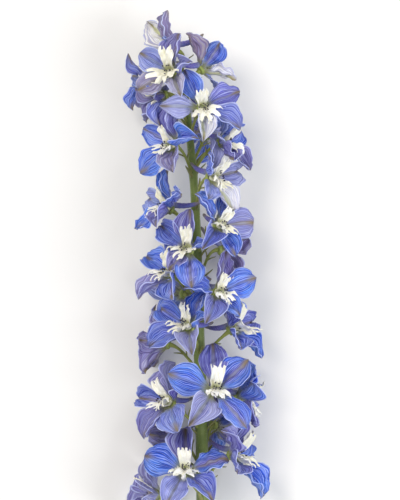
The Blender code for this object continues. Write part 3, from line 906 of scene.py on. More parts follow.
def blade_map(material):
    """The places and streaks that all the finishes of a blade use."""
    place = add(material, "ShaderNodeTexCoord")
    uv = add(material, "ShaderNodeSeparateXYZ", {"Vector": place.outputs["UV"]})
    across, along = uv.outputs["X"], uv.outputs["Y"]
    tint = add(material, "ShaderNodeAttribute", attribute_name="tint")
    shares = add(material, "ShaderNodeSeparateColor", {"Color": tint.outputs["Color"]})
    seed = tint.outputs["Alpha"]
    own = add(material, "ShaderNodeMath", {0: seed, 1: STREAKS_APART}, operation="MULTIPLY")
    noises = {}
    for name, wide, long, detail in (
        ("patch", 2.2, 2.0, 2.0),
        ("streak", STREAKS_ACROSS, STREAKS_ALONG, 2.0),
        ("fibre", STREAKS_ACROSS * 2, STREAKS_ALONG * 2, 2.0),
    ):
        x = add(material, "ShaderNodeMath", {0: across, 1: wide}, operation="MULTIPLY")
        y = add(material, "ShaderNodeMath", {0: along, 1: long}, operation="MULTIPLY")
        spot = add(material, "ShaderNodeCombineXYZ", {"X": x, "Y": y, "Z": own})
        noises[name] = add(
            material, "ShaderNodeTexNoise", {"Vector": spot, "Scale": 1.0, "Detail": detail}
        )
    cells = add(
        material,
        "ShaderNodeTexNoise",
        {"Vector": place.outputs["Object"], "Scale": 1 / (CELL_SIZE * MM), "Detail": 1.0},
    )
    bend = add(
        material,
        "ShaderNodeMapRange",
        {"Value": noises["patch"], "To Min": -VEIN_WANDER, "To Max": VEIN_WANDER},
    )
    bent = add(material, "ShaderNodeMath", {0: across, 1: bend}, operation="ADD")
    lines = add(material, "ShaderNodeMath", {0: bent, 1: VEINS_ACROSS}, operation="MULTIPLY")
    vein = add(material, "ShaderNodeMath", {0: lines, 1: 0.5}, operation="PINGPONG")
    thin_lines = add(material, "ShaderNodeMath", {0: bent, 1: FINE_VEINS_ACROSS}, operation="MULTIPLY")
    fine = add(material, "ShaderNodeMath", {0: thin_lines, 1: 0.5}, operation="PINGPONG")
    aside = add(material, "ShaderNodeMath", {0: across, 1: 0.5}, operation="SUBTRACT")
    one_side = add(material, "ShaderNodeMath", {0: aside}, operation="ABSOLUTE")
    sideways = add(material, "ShaderNodeMath", {0: one_side, 1: 2.0}, operation="MULTIPLY")
    tip = add(
        material,
        "ShaderNodeMath",
        {0: sideways, 1: -TIP_POINTED, 2: along},
        operation="MULTIPLY_ADD",
    )
    return {
        **noises,
        "cells": cells,
        "own": seed,
        "vein": vein,
        "fine": fine,
        "along": along,
        "sideways": sideways,
        "tip": tip,
        "lilac": shares.outputs["Red"],
        "pale": shares.outputs["Green"],
        "brown": shares.outputs["Blue"],
    }


def washed(material, tone, washes):
    """Lay washes of colour over a tone one by one.

    Each wash has a source, the source's values where it is clear and where it is full, its
    strength there, and its colour.
    """
    for source, clear, full, strength, code in washes:
        share = add(
            material,
            "ShaderNodeMapRange",
            {"Value": source, "From Min": clear, "From Max": full, "To Max": strength},
            interpolation_type="SMOOTHSTEP",
        )
        tone = add(
            material,
            "ShaderNodeMix",
            {"Factor": share, 6: tone, 7: colour(code)},
            data_type="RGBA",
        )
    return tone


def petal_finish(material, tone, height, roughness):
    """The shader of a fresh petal: wet cells, with its veins and streaks as relief."""
    relief = add(
        material, "ShaderNodeBump", {"Height": height, "Strength": 0.8, "Distance": 0.3 * MM}
    )
    shader = add(
        material,
        "ShaderNodeBsdfPrincipled",
        {
            "Base Color": tone,
            "Roughness": roughness,
            "IOR": 1.36,
            "Normal": relief,
            "Sheen Weight": 0.03,
            "Sheen Roughness": 0.4,
            "Subsurface Weight": 0.08,
            "Subsurface Scale": 0.4 * MM,
            "Subsurface Radius": (0.6, 0.7, 1.0),
        },
    )
    add(material, "ShaderNodeOutputMaterial", {"Surface": shader})


# %% The face of a sepal
def sepal_face():
    skin = empty_material("sepal_face_fresh_petal")
    m = blade_map(skin)
    blue = washed(
        skin,
        colour("#2862e4"),
        (
            (m["patch"], 0.42, 0.62, 0.9, "#468af8"),
            (m["own"], 0.55, 1.0, 0.6, "#2344a8"),
            (m["streak"], 0.5, 0.32, 0.7, "#1e3ca2"),
            (m["streak"], 0.5, 0.68, 0.6, "#8fabf8"),
            (m["fibre"], 0.46, 0.37, 0.75, "#1c368e"),
            (m["fibre"], 0.54, 0.63, 0.65, "#a9bdfa"),
            (m["fine"], 0.34, 0.48, 0.6, "#1c3696"),
            (m["fine"], 0.14, 0.02, 0.6, "#b6c4fa"),
        ),
    )
    violet = washed(
        skin,
        colour("#7064bc"),
        (
            (m["streak"], 0.5, 0.34, 0.8, "#484292"),
            (m["streak"], 0.5, 0.66, 0.85, "#c0c0ee"),
            (m["fibre"], 0.5, 0.3, 0.5, "#4c438a"),
            (m["fine"], 0.34, 0.48, 0.5, "#43398a"),
            (m["fine"], 0.14, 0.02, 0.5, "#c2c1f4"),
            (m["sideways"], 0.2, 0.03, 0.7, "#8f8568"),
        ),
    )
    band = add(
        skin,
        "ShaderNodeMapRange",
        {"Value": m["sideways"], "From Min": 0.6, "From Max": 0.05, "To Max": m["own"]},
        interpolation_type="SMOOTHSTEP",
    )
    more = add(skin, "ShaderNodeMath", {0: band, 1: m["lilac"]}, operation="MAXIMUM")
    both = add(skin, "ShaderNodeMix", {"Factor": more, 6: blue, 7: violet}, data_type="RGBA")
    pale = washed(
        skin,
        colour("#fbfaf8"),
        (
            (m["streak"], 0.5, 0.32, 0.7, "#8d86b4"),
            (m["fine"], 0.36, 0.48, 0.45, "#7f78a8"),
            (m["sideways"], 0.34, 0.05, 0.75, "#bcc06a"),
        ),
    )
    faded = add(skin, "ShaderNodeMix", {"Factor": m["pale"], 6: both, 7: pale}, data_type="RGBA")
    brown = washed(skin, colour("#85718c"), ((m["streak"], 0.46, 0.66, 0.8, "#b3a9a8"),))
    aged = add(skin, "ShaderNodeMix", {"Factor": m["brown"], 6: faded, 7: brown}, data_type="RGBA")
    tone = washed(
        skin,
        aged,
        (
            (m["vein"], 0.1, 0.01, 0.4, "#b8c5fc"),
            # The paler outer edge of the face is a painted highlight, for the glint along the rim.
            (m["sideways"], 0.94, 1.0, 0.55, "#cdd6ff"),
            (m["along"], 0.3, 0.08, 0.85, "#a8ab6e"),
            (m["tip"], 0.6, 0.94, 0.85, "#8f7d4c"),
        ),
    )
    height = add(skin, "ShaderNodeMath", {0: m["fine"], 1: m["fibre"]}, operation="ADD")
    petal_finish(skin, tone, height, 0.46)
    return skin


# %% The back and the rim of a sepal
def sepal_back():
    skin = empty_material("sepal_back_fresh_petal")
    m = blade_map(skin)
    tone = washed(
        skin,
        colour("#6f6aae"),
        (
            (m["patch"], 0.5, 0.3, 0.7, "#4c5cc0"),
            (m["streak"], 0.5, 0.34, 0.7, "#4b4487"),
            (m["streak"], 0.5, 0.7, 0.7, "#a9a6d4"),
            (m["sideways"], 0.55, 0.15, 0.7, "#8b8270"),
            (m["sideways"], 0.1, 0.02, 0.5, "#b3ab72"),
            (m["pale"], 0.0, 1.0, 0.85, "#d8d6e0"),
            (m["along"], 0.74, 0.97, 0.85, "#93834e"),
            (m["along"], 0.25, 0.05, 0.6, "#8f9560"),
        ),
    )
    petal_finish(skin, tone, m["fibre"], 0.52)
    return skin


# The rim faces are pale lilac as a painted highlight, for the glint along the thin edge.
def sepal_rim():
    skin = empty_material("sepal_rim_fresh_petal")
    m = blade_map(skin)
    tone = washed(
        skin,
        colour("#a9b6f4"),
        (
            (m["patch"], 0.45, 0.65, 0.9, "#dbe1fd"),
            (m["streak"], 0.5, 0.35, 0.6, "#5c72d6"),
            (m["along"], 0.88, 0.98, 1.0, "#a08c5c"),
        ),
    )
    petal_finish(skin, tone, m["fibre"], 0.5)
    return skin


for finish in (sepal_face(), sepal_back(), sepal_rim()):
    sepal_flat.data.materials.append(finish)
print("sepal finishes:", *(finish.name for finish in sepal_flat.data.materials))

# %% The spur
def spur_finish():
    skin = empty_material("spur_fresh_petal")
    m = blade_map(skin)
    tone = washed(
        skin,
        colour("#5f5aa8"),
        (
            (m["patch"], 0.4, 0.6, 0.7, "#6f86d8"),
            (m["cells"], 0.4, 0.65, 0.5, "#9a93c4"),
            (m["along"], 0.78, 0.94, 0.75, "#8d8258"),
            (m["along"], 0.62, 0.5, 0.6, "#8a8f86"),
        ),
    )
    petal_finish(skin, tone, m["cells"], 0.5)
    return skin


spur_skin = spur_finish()
print("spur finish:", spur_skin.name)

# %% [markdown]
# ## The finish of the inner petals
#
# The bee is creamy white and nearly matt, because air between its cells scatters all the
# light. Its claws are yellow green, where they are thicker and hold more sap.

# %% Creamy petals
def bee_skin():
    skin = empty_material("bee_matt_petal")
    m = blade_map(skin)
    tone = washed(
        skin,
        colour("#fffef8"),
        (
            (m["patch"], 0.45, 0.7, 0.6, "#f8f3d6"),
            (m["own"], 0.4, 1.0, 0.35, "#f3ecbe"),
            (m["streak"], 0.45, 0.3, 0.35, "#d9d6a8"),
            (m["along"], 0.4, 0.05, 0.85, "#cfd08c"),
        ),
    )
    petal_finish(skin, tone, m["fibre"], 0.6)
    return skin


cream = bee_skin()
for flat in BEE_PATTERNS:
    flat.data.materials.append(cream)
print("bee finish:", cream.name)


# %% One finish for each plain small part
def soft_tissue(name, dark, light, size, roughness, sheen):
    """Fresh tissue with two shades in cloudy patches of a given size in mm."""
    skin = empty_material(name)
    place = add(skin, "ShaderNodeTexCoord")
    cloud = add(
        skin,
        "ShaderNodeTexNoise",
        {"Vector": place.outputs["Object"], "Scale": 1 / (size * MM), "Detail": 3.0},
    )
    tone = add(
        skin,
        "ShaderNodeMix",
        {"Factor": cloud, 6: colour(dark), 7: colour(light)},
        data_type="RGBA",
    )
    relief = add(
        skin, "ShaderNodeBump", {"Height": cloud, "Strength": 0.4, "Distance": 0.15 * MM}
    )
    shader = add(
        skin,
        "ShaderNodeBsdfPrincipled",
        {
            "Base Color": tone,
            "Roughness": roughness,
            "IOR": 1.38,
            "Normal": relief,
            "Sheen Weight": sheen,
        },
    )
    add(skin, "ShaderNodeOutputMaterial", {"Surface": shader})
    return skin


hub_skin = soft_tissue("hub_fresh_tissue", "#7f9440", "#b0b868", 1.5, 0.5, 0.1)
stem_skin = soft_tissue("stem_waxy_skin", "#64793a", "#93a256", 4.0, 0.42, 0.1)
stalk_skin = soft_tissue("stalk_waxy_skin", "#76863a", "#aeb05c", 3.0, 0.45, 0.1)
leaf_skin = soft_tissue("bract_waxy_leaf", "#6d7d38", "#a29a5c", 2.0, 0.45, 0.1)
pith = soft_tissue("cut_wet_pith", "#b9c48a", "#dfe3bd", 0.8, 0.35, 0.0)
down = soft_tissue("hairs_dry_down", "#b7bb8e", "#dcdcba", 1.0, 0.6, 0.3)
beard = soft_tissue("beard_dry_hair", "#fbf6d8", "#fffef6", 1.0, 0.65, 0.3)
thread = soft_tissue("filament_wet_thread", "#d9dab2", "#f1efd8", 1.0, 0.5, 0.1)
pollen_sac = soft_tissue("anther_dry_sac", "#17132b", "#3a3152", 0.4, 0.6, 0.1)
print("materials so far:", len(bpy.data.materials))

# %% [markdown]
# ## The hub and the spur of a bloom
#
# The sepals grow from a low round green cushion. Behind it the spur runs back and curves up.
# On the flower it is a hollow horn with a blunt wrinkled end. Its hollow can't be seen, so the
# tube here is closed.

# %% Model the spur
SPUR_LENGTH = 15.0
SPUR_START = (0.0, 2.9, 0.3)
SPUR_COURSE = ((0.33, 0.41, -0.43), (0.73, 0.76, -0.77))
SPUR_RADII = (1.6, 1.3, 0.55)
SPUR_SWINGS = (0, 15, -15, 30, -30, 45, -45)
SPUR_SIZES = (1.0, 0.85, 0.7, 0.55, 0.4)
WRINKLE = 0.07
WRINKLE_RATE = 38
KNOB = 0.22
KNOB_PLACE = 0.95
KNOB_REACH = 0.05
SPUR_CLOSES = 0.45


def spur_marks(bloom, swing, size):
    """The three points that the solid's spur follows."""
    reach = SPUR_LENGTH * size * bloom.size
    side = math.tan(math.radians(swing)) / size / bloom.size
    marks = [Vector(SPUR_START)]
    for across, up, back in SPUR_COURSE:
        marks.append(Vector((side * across, up, back)) * reach)
    return marks


def spur_as_built(bloom, corners):
    """The three points of the spur, swung and shortened as its solid is."""
    placing = bloom_frame(bloom)
    best = None
    for size in SPUR_SIZES:
        for swing in SPUR_SWINGS:
            marks = spur_marks(bloom, swing, size)
            gap = abs(corners.find(placing @ marks[2])[2] - SPUR_RADII[2])
            if best is None or gap < best[0] - 0.01:
                best = (gap, marks)
    return best[1]


def spur_radius(t):
    """The spur's radius along it: tapering, with a few wrinkles and a small blunt knob."""
    low, middle, high = SPUR_RADII
    if t < 0.5:
        taper = low + (middle - low) * t / 0.5
    else:
        taper = middle + (high - middle) * (t - 0.5) / 0.5
    wrinkle = WRINKLE * math.sin(t * WRINKLE_RATE)
    knob = KNOB * math.exp(-(((t - KNOB_PLACE) / KNOB_REACH) ** 2))
    closing = SPUR_CLOSES if t > 0.99 else 1.0
    return (taper + wrinkle + knob) * closing


def spur_piece(bloom, corners):
    a, b, c = spur_as_built(bloom, corners)
    line = []
    for k in range(ROD_RINGS + 1):
        t = k / ROD_RINGS
        line.append(a * (1 - t) * (1 - 2 * t) + b * 4 * t * (1 - t) + c * t * (2 * t - 1))
    return string(spur_rod, "spur", line, spur_radius, bloom_frame(bloom))


spur_rod.data.materials.append(spur_skin)
print("spur:", SPUR_LENGTH, "mm reach")

# %% [markdown]
# ## Small repeated pieces
#
# Hairs and stamens repeat hundreds of times, and carpels dozens. Each is modelled once with
# few faces, and its copies are written into one mesh at their own places, which keeps the
# file small.

# %% Copy a small piece to many places
def repeated(flat, name, placings):
    """One object with a copy of the small piece at each placing, which is in mm in the layout."""
    points, faces, slots = [], [], []
    for placing in placings:
        start = len(points)
        for vertex in flat.data.vertices:
            points.append((on_table(placing @ vertex.co, LOWEST) - MIDDLE) * MM)
        for face in flat.data.polygons:
            faces.append([start + corner for corner in face.vertices])
            slots.append(face.material_index)
    mesh = bpy.data.meshes.new(name)
    mesh.from_pydata(points, [], faces)
    for material in flat.data.materials:
        mesh.materials.append(material)
    mesh.polygons.foreach_set("material_index", slots)
    mesh.shade_smooth()
    return in_scene(name, mesh)


def pointing(place, direction, length, turn=0.0):
    """The placing that stands a piece of unit length at a place, along a direction."""
    turned = direction.to_track_quat("Z", "Y").to_matrix().to_4x4()
    scaled = Matrix.Diagonal((1.0, 1.0, length, 1.0))
    return Matrix.Translation(place) @ turned @ Matrix.Rotation(turn, 4, "Z") @ scaled


# %% Model a hair, a stamen and a carpel
def cone(name, sides, low, high, depth, material):
    shape = {"vertices": sides, "radius1": low, "radius2": high, "depth": depth}
    middle = (0, 0, depth / 2)
    piece = primitive(name, bpy.ops.mesh.primitive_cone_add, location=middle, **shape)
    bpy.ops.object.transform_apply(location=True, rotation=True, scale=True)
    piece.data.materials.append(material)
    return piece


FILAMENT_LENGTH = 5.6
FILAMENT_BOWS = ((0.2, 0.1), (0.4, 0.2), (0.6, 0.3), (0.8, 0.45), (1.0, 0.6))
ANTHER_RADIUS = 0.42
ANTHER_SHAPE = (0.75, 1.1, 1.4)
ANTHER_FURROW = (0.8, 1, 0.9)

stem_hair = cone("stem_hair", 3, 0.05, 0.0, 1.0, down)
beard_hair = cone("beard_hair", 3, 0.11, 0.0, 1.0, beard)
carpel_flat = cone("carpel_flat", 6, 0.5, 0.12, 3.8, stem_skin)

stamen_flat = cone("stamen_flat", 5, 0.15, 0.09, FILAMENT_LENGTH, thread)
bpy.ops.object.mode_set(mode="EDIT")
choose(lambda co: near(co.z, FILAMENT_LENGTH / 2), "EDGE")
bpy.ops.mesh.subdivide(number_cuts=4)
for share, step in FILAMENT_BOWS:
    choose(lambda co: co.z > FILAMENT_LENGTH * share - 0.01)
    bpy.ops.transform.translate(value=(step / 2, 0, 0))
bpy.ops.object.mode_set(mode="OBJECT")
bow = sum(step / 2 for _, step in FILAMENT_BOWS)
top = (bow, 0, FILAMENT_LENGTH)
ball = {"segments": 8, "ring_count": 6, "radius": ANTHER_RADIUS, "location": top}
anther = primitive("anther", bpy.ops.mesh.primitive_uv_sphere_add, **ball)
anther.data.materials.append(pollen_sac)
bpy.ops.object.mode_set(mode="EDIT")
bpy.ops.mesh.select_all(action="SELECT")
bpy.ops.transform.resize(value=ANTHER_SHAPE, center_override=top)
choose(lambda co: near(co.y, 0, 0.08))
bpy.ops.transform.resize(value=ANTHER_FURROW, center_override=top)
bpy.ops.object.mode_set(mode="OBJECT")
bpy.ops.object.transform_apply(location=True, rotation=True, scale=True)
merged([stamen_flat, anther])
print("stamen:", len(stamen_flat.data.polygons), "faces")

# %% Put the beard on the lower petals
BEARD_HAIRS = 34
BEARD_PLACES = (0.3, 0.6)
BEARD_WIDTH = 0.75
BEARD_ROOTED = 0.05
BEARD_ASIDE = (-0.5, 0.5)
BEARD_FORWARD = (-0.1, 1.1)
BEARD_LENGTHS = (0.9, 2.1)

for flat in lower_flats:
    rng = draws("beard", flat.name)
    hairs = []
    for _ in range(BEARD_HAIRS):
        s = rng.uniform(*BEARD_PLACES)
        across = rng.uniform(-BEARD_WIDTH, BEARD_WIDTH) * half_width(BEE_LOWER, s)
        place = Vector((across, s * BEE_LOWER.length, BEARD_ROOTED))
        direction = Vector((rng.uniform(*BEARD_ASIDE), rng.uniform(*BEARD_FORWARD), 1.0))
        hairs.append(pointing(place, direction, rng.uniform(*BEARD_LENGTHS)))
    tuft = repeated(beard_hair, "tuft", hairs)
    tuft.data.transform(Matrix.Scale(1 / MM, 4))
    tuft.data.transform(Matrix.Translation(MIDDLE))
    merged([flat, tuft])
    print(flat.name, "with its beard:", len(flat.data.polygons), "faces")

# %% [markdown]
# ## The blooms
#
# Each bloom becomes two objects, as in the solids: the sepals with hub and spur, and the bee
# with its stamens. Every blade gets its own waves, roll and curl, so that no two are alike.
# The tint says how lilac, how pale and how brown a sepal is. Sepals near the tip of the spike
# and those in shade are the most lilac, and some old ones are nearly white with dark veins.

# %% The feel of each blade
WAVE = (0.4, 1.1)
WAVES = (1.4, 3.0)
FOLDS = (0.1, 0.25, 0.45, 0.7)
ROLL = (-0.15, 0.45)
CREASE = (1.2, 2.6)
CURL = (-2.4, 1.6)
POINT = (0.18, 0.55)
LILACS = (0.0, 0.0, 0.2, 0.45, 0.85)
TINTS = {
    "01": {90: (0.7, 0.1, 0.6), 162: (0.2, 1.0, 0.0), 234: (0.2, 0.95, 0.0)},
    "02": {
        90: (0.6, 0.0, 0.4), 18: (0.6, 0.2, 0.1), 162: (0.35, 0.2, 0.0), 234: (0.7, 0.4, 0.5),
        -54: (0.8, 0.5, 0.2),
    },
    "03": {90: (0.8, 0.1, 0.8), 162: UNTINTED, 234: (0.2, 0.85, 0.0)},
    "05": {162: (0.6, 0.1, 0.5), 234: (0.5, 0.1, 0.4), 90: (0.3, 0.0, 0.0)},
    "06": {
        18: (0.65, 0.0, 0.1), 162: (0.55, 0.3, 0.0), 234: (0.4, 0.85, 0.0), -54: (0.15, 0.1, 0.2),
    },
    "07": {18: UNTINTED, 162: (0.1, 0.0, 0.0), 234: UNTINTED, -54: (0.8, 0.2, 0.35)},
    "08": {18: (0.1, 0.0, 0.0), 162: (0.5, 0.3, 0.0), -54: (0.7, 0.1, 0.3)},
    "09": {
        90: (0.7, 0.2, 0.0), 162: (0.35, 0.0, 0.0), 234: (0.3, 0.2, 0.0), -54: (0.5, 0.85, 0.1),
    },
    "10": {90: UNTINTED, 18: (0.2, 0.0, 0.0), 234: UNTINTED, -54: (0.7, 0.0, 0.2)},
    "11": {162: UNTINTED, 18: (0.5, 0.15, 0.1), 234: (0.45, 0.0, 0.0), -54: (0.1, 0.0, 0.0)},
    "12": {
        90: (0.8, 0.0, 0.2), 162: (0.3, 0.0, 0.1), 234: (0.85, 0.1, 0.1), -54: (0.0, 0.0, 0.1),
    },
    "13": {162: (0.1, 0.0, 0.0), 234: (0.9, 0.15, 0.1), -54: (0.2, 0.0, 0.0)},
    "14": {
        90: (0.8, 0.0, 0.35), 18: UNTINTED, 162: (0.2, 0.0, 0.0), 234: (0.6, 0.1, 0.0),
        -54: (0.1, 0.0, 0.0),
    },
    "15": dict.fromkeys(SEPAL_ANGLES, (0.9, 0.0, 0.5)),
    "16": {
        90: UNTINTED, 18: (0.1, 0.0, 0.0), 162: (0.25, 0.0, 0.0), 234: (0.35, 0.0, 0.1),
        -54: (0.7, 0.3, 0.0),
    },
    "17": {90: (0.1, 0.0, 0.0), 234: (0.3, 0.0, 0.0), -54: UNTINTED},
    "18": dict.fromkeys(SEPAL_ANGLES, (0.9, 0.1, 0.3)),
    "19": {234: (0.6, 0.0, 0.4), -54: (0.35, 0.1, 0.0)},
    "20": {
        90: (0.7, 0.0, 0.1), 18: UNTINTED, 162: UNTINTED, 234: (0.7, 0.3, 0.0),
        -54: (0.1, 0.0, 0.0),
    },
    "22": {234: (0.5, 0.0, 0.2), -54: (0.05, 0.0, 0.0)},
    "23": {
        90: (0.8, 0.0, 0.2), 18: UNTINTED, 162: UNTINTED, 234: (0.5, 0.2, 0.0),
        -54: (0.4, 0.0, 0.1),
    },
    "24": dict.fromkeys(SEPAL_ANGLES, (0.6, 0.15, 0.5)),
    "25": dict.fromkeys(SEPAL_ANGLES, (0.5, 0.1, 0.35)),
}
BROAD = (("07", 234), ("11", 18), ("12", -54), ("14", 18), ("19", -54), ("20", 162), ("20", 18),
         ("20", -54), ("23", 162), ("23", 18))
BROAD_FEEL = {"fold": 0.0, "point": 0.05, "roll": -0.05, "wide": 1.14}
SLIM = ("01", "03", "05")
SLIM_FEEL = {"point": 0.68, "wide": 0.9}


def feel_of(bloom, place):
    rng = draws("feel", bloom.name, place)
    plain = (rng.choice(LILACS), rng.choice((0.0, 0.0, 0.0, 0.2)), rng.uniform(0.0, 0.15))
    feel = Feel(
        wave=rng.uniform(*WAVE),
        waves=rng.uniform(*WAVES),
        left=rng.random(),
        right=rng.random(),
        fold=rng.choice(FOLDS),
        roll=rng.uniform(*ROLL),
        crease=rng.uniform(*CREASE),
        curl=rng.uniform(*CURL),
        point=rng.uniform(*POINT),
        tint=TINTS.get(bloom.name, {}).get(place, plain),
        seed=rng.random(),
    )
    if (bloom.name, place) in BROAD:
        feel = replace(feel, **BROAD_FEEL)
    if bloom.name in SLIM:
        feel = replace(feel, **SLIM_FEEL)
    return feel


# %% Build the sepals of every bloom
HUB_SHARE = 0.9
HUB_SIDES = 20
HUB_ROUND = 0.22
HUB_ENDS = ((1, 0.3, -0.2), (-1, 0.35, -0.15))


def cushion(name, radius, depth, material):
    """A low cushion centred on the bloom's axis: its top is hollowed, its foot drawn down."""
    cylinder = {"vertices": HUB_SIDES, "radius": radius, "depth": depth}
    piece = primitive(name, bpy.ops.mesh.primitive_cylinder_add, **cylinder)
    bpy.ops.object.mode_set(mode="EDIT")
    for side, inset, drop in HUB_ENDS:
        choose(lambda co: near(co.z, side * depth / 2), "FACE")
        bpy.ops.mesh.inset(thickness=radius * inset)
        bpy.ops.transform.translate(value=(0, 0, drop * depth))
    bpy.ops.mesh.select_all(action="DESELECT")
    bpy.ops.object.mode_set(mode="OBJECT")
    modified(piece, "BEVEL", width=depth * HUB_ROUND, segments=2)
    bpy.ops.object.shade_smooth()
    piece.data.materials.append(material)
    return piece


hub_flat = cushion("hub_flat", HUB_RADIUS * HUB_SHARE, HUB_DEPTH, hub_skin)
bee_hub_flat = cushion("bee_hub_flat", BEE_HUB_RADIUS * HUB_SHARE, BEE_HUB_DEPTH, thread)


def sepals_of(bloom):
    placing = bloom_frame(bloom)
    corners = corners_of("sepals_" + bloom.name)
    pieces = [repeated(hub_flat, "hub", [placing])]
    for place in SEPAL_ANGLES:
        _, petal, angle = found[bloom.name, place]
        root = heading(place) * SEPAL_ROOT
        feel = feel_of(bloom, place)
        pieces.append(lay(sepal_flat, "sepal", SEPAL, petal, angle, root, placing, feel))
    pieces.append(spur_piece(bloom, corners))
    whole = joined(pieces, "sepals." + bloom.name)
    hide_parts("sepals_" + bloom.name)
    return whole


faces = sum(len(sepals_of(bloom).data.polygons) for bloom in BLOOMS)
print("sepals, hubs and spurs:", faces, "faces")

# %% Build the bee of every bloom
BEE_VARIES = 8
BEE_LONGER = (0.86, 1.1)
BEE_WIDER = 1.25
BEE_GROWN = {
    "02": 1.3, "06": 1.1, "08": 1.15, "10": 1.1, "12": 1.1, "17": 1.2, "21": 1.2, "22": 1.2,
    "25": 1.1,
}
BEE_CLOSES = 6
BEE_CLOSED = {"20": 27, "14": 12, "23": 12, "06": 2, "02": -4}
FRINGED = ("07", "09", "10", "12", "13", "16", "17", "19", "22", "26")
UPPER_SPREAD = 2.4
BEE_WAVE = (0.3, 0.9)
BEE_WAVES = (1.0, 2.5)
BEE_ROLL = (-0.35, 0.35)
BEE_CREASE = (0.8, 1.6)
BEE_CURL = (-1.6, 2.0)
BEE_RAGGED = (1.5, 3.5)
UPPER_RAGGED = 0.45
UPPER_POINT = 0.38
STAMENS = 11
CARPELS = 3
STAMEN_REACH = 7.2
STAMEN_DROOP = 1.9
BUNDLE_RADIUS = 0.9
BEE_FOOT = 0.6
BEE_HUB_SHIFT = -0.1
STAMEN_TURNS = 12
STAMEN_SPREADS = (0.05, 0.34)
STAMEN_FEET = (0.5, 1.0)
STAMEN_LENGTHS = (0.75, 1.12)
CARPEL_SPREAD = 0.12
CARPEL_FOOT = 0.35


def inner_petals(bloom):
    """For each inner petal of a bloom: its pattern, its form, its own size, angle and root."""
    mitten, fringe = lower_flats
    lower = fringe if bloom.name in FRINGED else mitten
    grown = bloom.size * BEE_GROWN.get(bloom.name, 1.0)
    for flat, form, angles in ((upper_flat, BEE_UPPER, UPPER_ANGLES), (lower, BEE_LOWER, LOWER_ANGLES)):
        for angle in angles:
            rng = draws("bee", bloom.name, angle)
            length = form.length * rng.uniform(*BEE_LONGER) * grown
            own = replace(form, length=length, width=form.width * BEE_WIDER * grown)
            own.lean_end = min(own.lean_end, bloom.spread) + rng.uniform(-BEE_VARIES, BEE_VARIES)
            if form is BEE_UPPER:
                root = heading(90 + (angle - 90) * UPPER_SPREAD) * BEE_ROOT
            else:
                root = heading(angle) * BEE_ROOT
                closing = BEE_CLOSED.get(bloom.name, BEE_CLOSES) * (1 if angle > 90 else -1)
                angle += closing + rng.uniform(-BEE_VARIES, BEE_VARIES)
            root.z = HUB_DEPTH / 2 + SEAT_GAP + BEE_HUB_DEPTH * BEE_FOOT
            yield flat, form, own, angle, root


def stamens_of(bloom, placing, base):
    rng = draws("stamens", bloom.name)
    axis = Vector((0, -STAMEN_DROOP, STAMEN_REACH)).normalized()
    stamens, carpels = [], []
    for k in range(STAMENS):
        around = heading(360 * k / STAMENS + rng.uniform(-STAMEN_TURNS, STAMEN_TURNS))
        direction = axis + around * rng.uniform(*STAMEN_SPREADS)
        place = base + around * BUNDLE_RADIUS * rng.uniform(*STAMEN_FEET)
        reach = rng.uniform(*STAMEN_LENGTHS) * bloom.size
        stamens.append(placing @ pointing(place, direction, reach, rng.uniform(0, math.tau)))
    for k in range(CARPELS):
        around = heading(90 + 360 * k / CARPELS)
        direction = axis + around * CARPEL_SPREAD
        carpels.append(placing @ pointing(base + around * CARPEL_FOOT, direction, bloom.size))
    return repeated(stamen_flat, "stamens", stamens), repeated(carpel_flat, "carpels", carpels)


def bee_of(bloom):
    placing = bloom_frame(bloom)
    base = Vector((0, BEE_HUB_SHIFT, HUB_DEPTH / 2 + SEAT_GAP + BEE_HUB_DEPTH / 2))
    pieces = [repeated(bee_hub_flat, "bee_hub", [placing @ Matrix.Translation(base)])]
    for k, (flat, form, own, angle, root) in enumerate(inner_petals(bloom)):
        rng = draws("bee feel", bloom.name, k)
        feel = Feel(
            wave=rng.uniform(*BEE_WAVE),
            waves=rng.uniform(*BEE_WAVES),
            left=rng.random(),
            right=rng.random(),
            roll=rng.uniform(*BEE_ROLL),
            crease=rng.uniform(*BEE_CREASE),
            curl=rng.uniform(*BEE_CURL),
            ragged=rng.uniform(*BEE_RAGGED),
            seed=rng.random(),
        )
        if form is BEE_UPPER:
            feel = replace(feel, ragged=feel.ragged * UPPER_RAGGED, point=UPPER_POINT)
        pieces.append(lay(flat, "inner_petal", form, own, angle, root, placing, feel))
    pieces.extend(stamens_of(bloom, placing, base))
    whole = joined(pieces, "bee." + bloom.name)
    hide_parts("bee_" + bloom.name)
    return whole


faces = sum(len(bee_of(bloom).data.polygons) for bloom in BLOOMS)
print("bees:", faces, "faces")

# %% [markdown]
# ## The stem
#
# A delphinium's stem is ribbed lengthwise, a little swollen where each stalk leaves it, and
# hollow, which shows at the cut. The ribs are columns of the tube pushed outwards.

# %% Model the ribbed stem
STEM_SIDES = 24
STEM_RINGS = 96
RIB = 1.07
RIB_EVERY = 45
CUT_INSET = 0.28
HOLLOW_INSET = 0.08
CUT_DEPTH = 0.006
SMOOTH_BELOW = 50
PEDICEL_CLIMB = 14.0
SWELLING = 0.16
SWELLING_REACH = 3.0
STEM_TIP = 0.988

stem_rod = rod("stem_rod", STEM_SIDES, STEM_RINGS)
stem_rod.data.materials.append(stem_skin)
stem_rod.data.materials.append(pith)
bpy.ops.object.mode_set(mode="EDIT")
ribs = choose(
    lambda co: near(math.degrees(math.atan2(co.x, co.z)) % RIB_EVERY, 0, 1.0) and co.xz.length > 0.5
)
bpy.ops.transform.resize(value=(RIB, 1, RIB), center_override=(0, 0, 0))
choose(lambda co: near(co.y, 0, 1e-4), "FACE")
bpy.ops.mesh.inset(thickness=CUT_INSET)
bpy.context.object.active_material_index = 1
bpy.ops.object.material_slot_assign()
bpy.ops.mesh.inset(thickness=HOLLOW_INSET)
bpy.ops.transform.translate(value=(0, CUT_DEPTH, 0))
bpy.ops.object.mode_set(mode="OBJECT")
bpy.ops.object.shade_smooth_by_angle(angle=math.radians(SMOOTH_BELOW))
print("stem tube:", len(stem_rod.data.polygons), "faces,", ribs, "rib points")


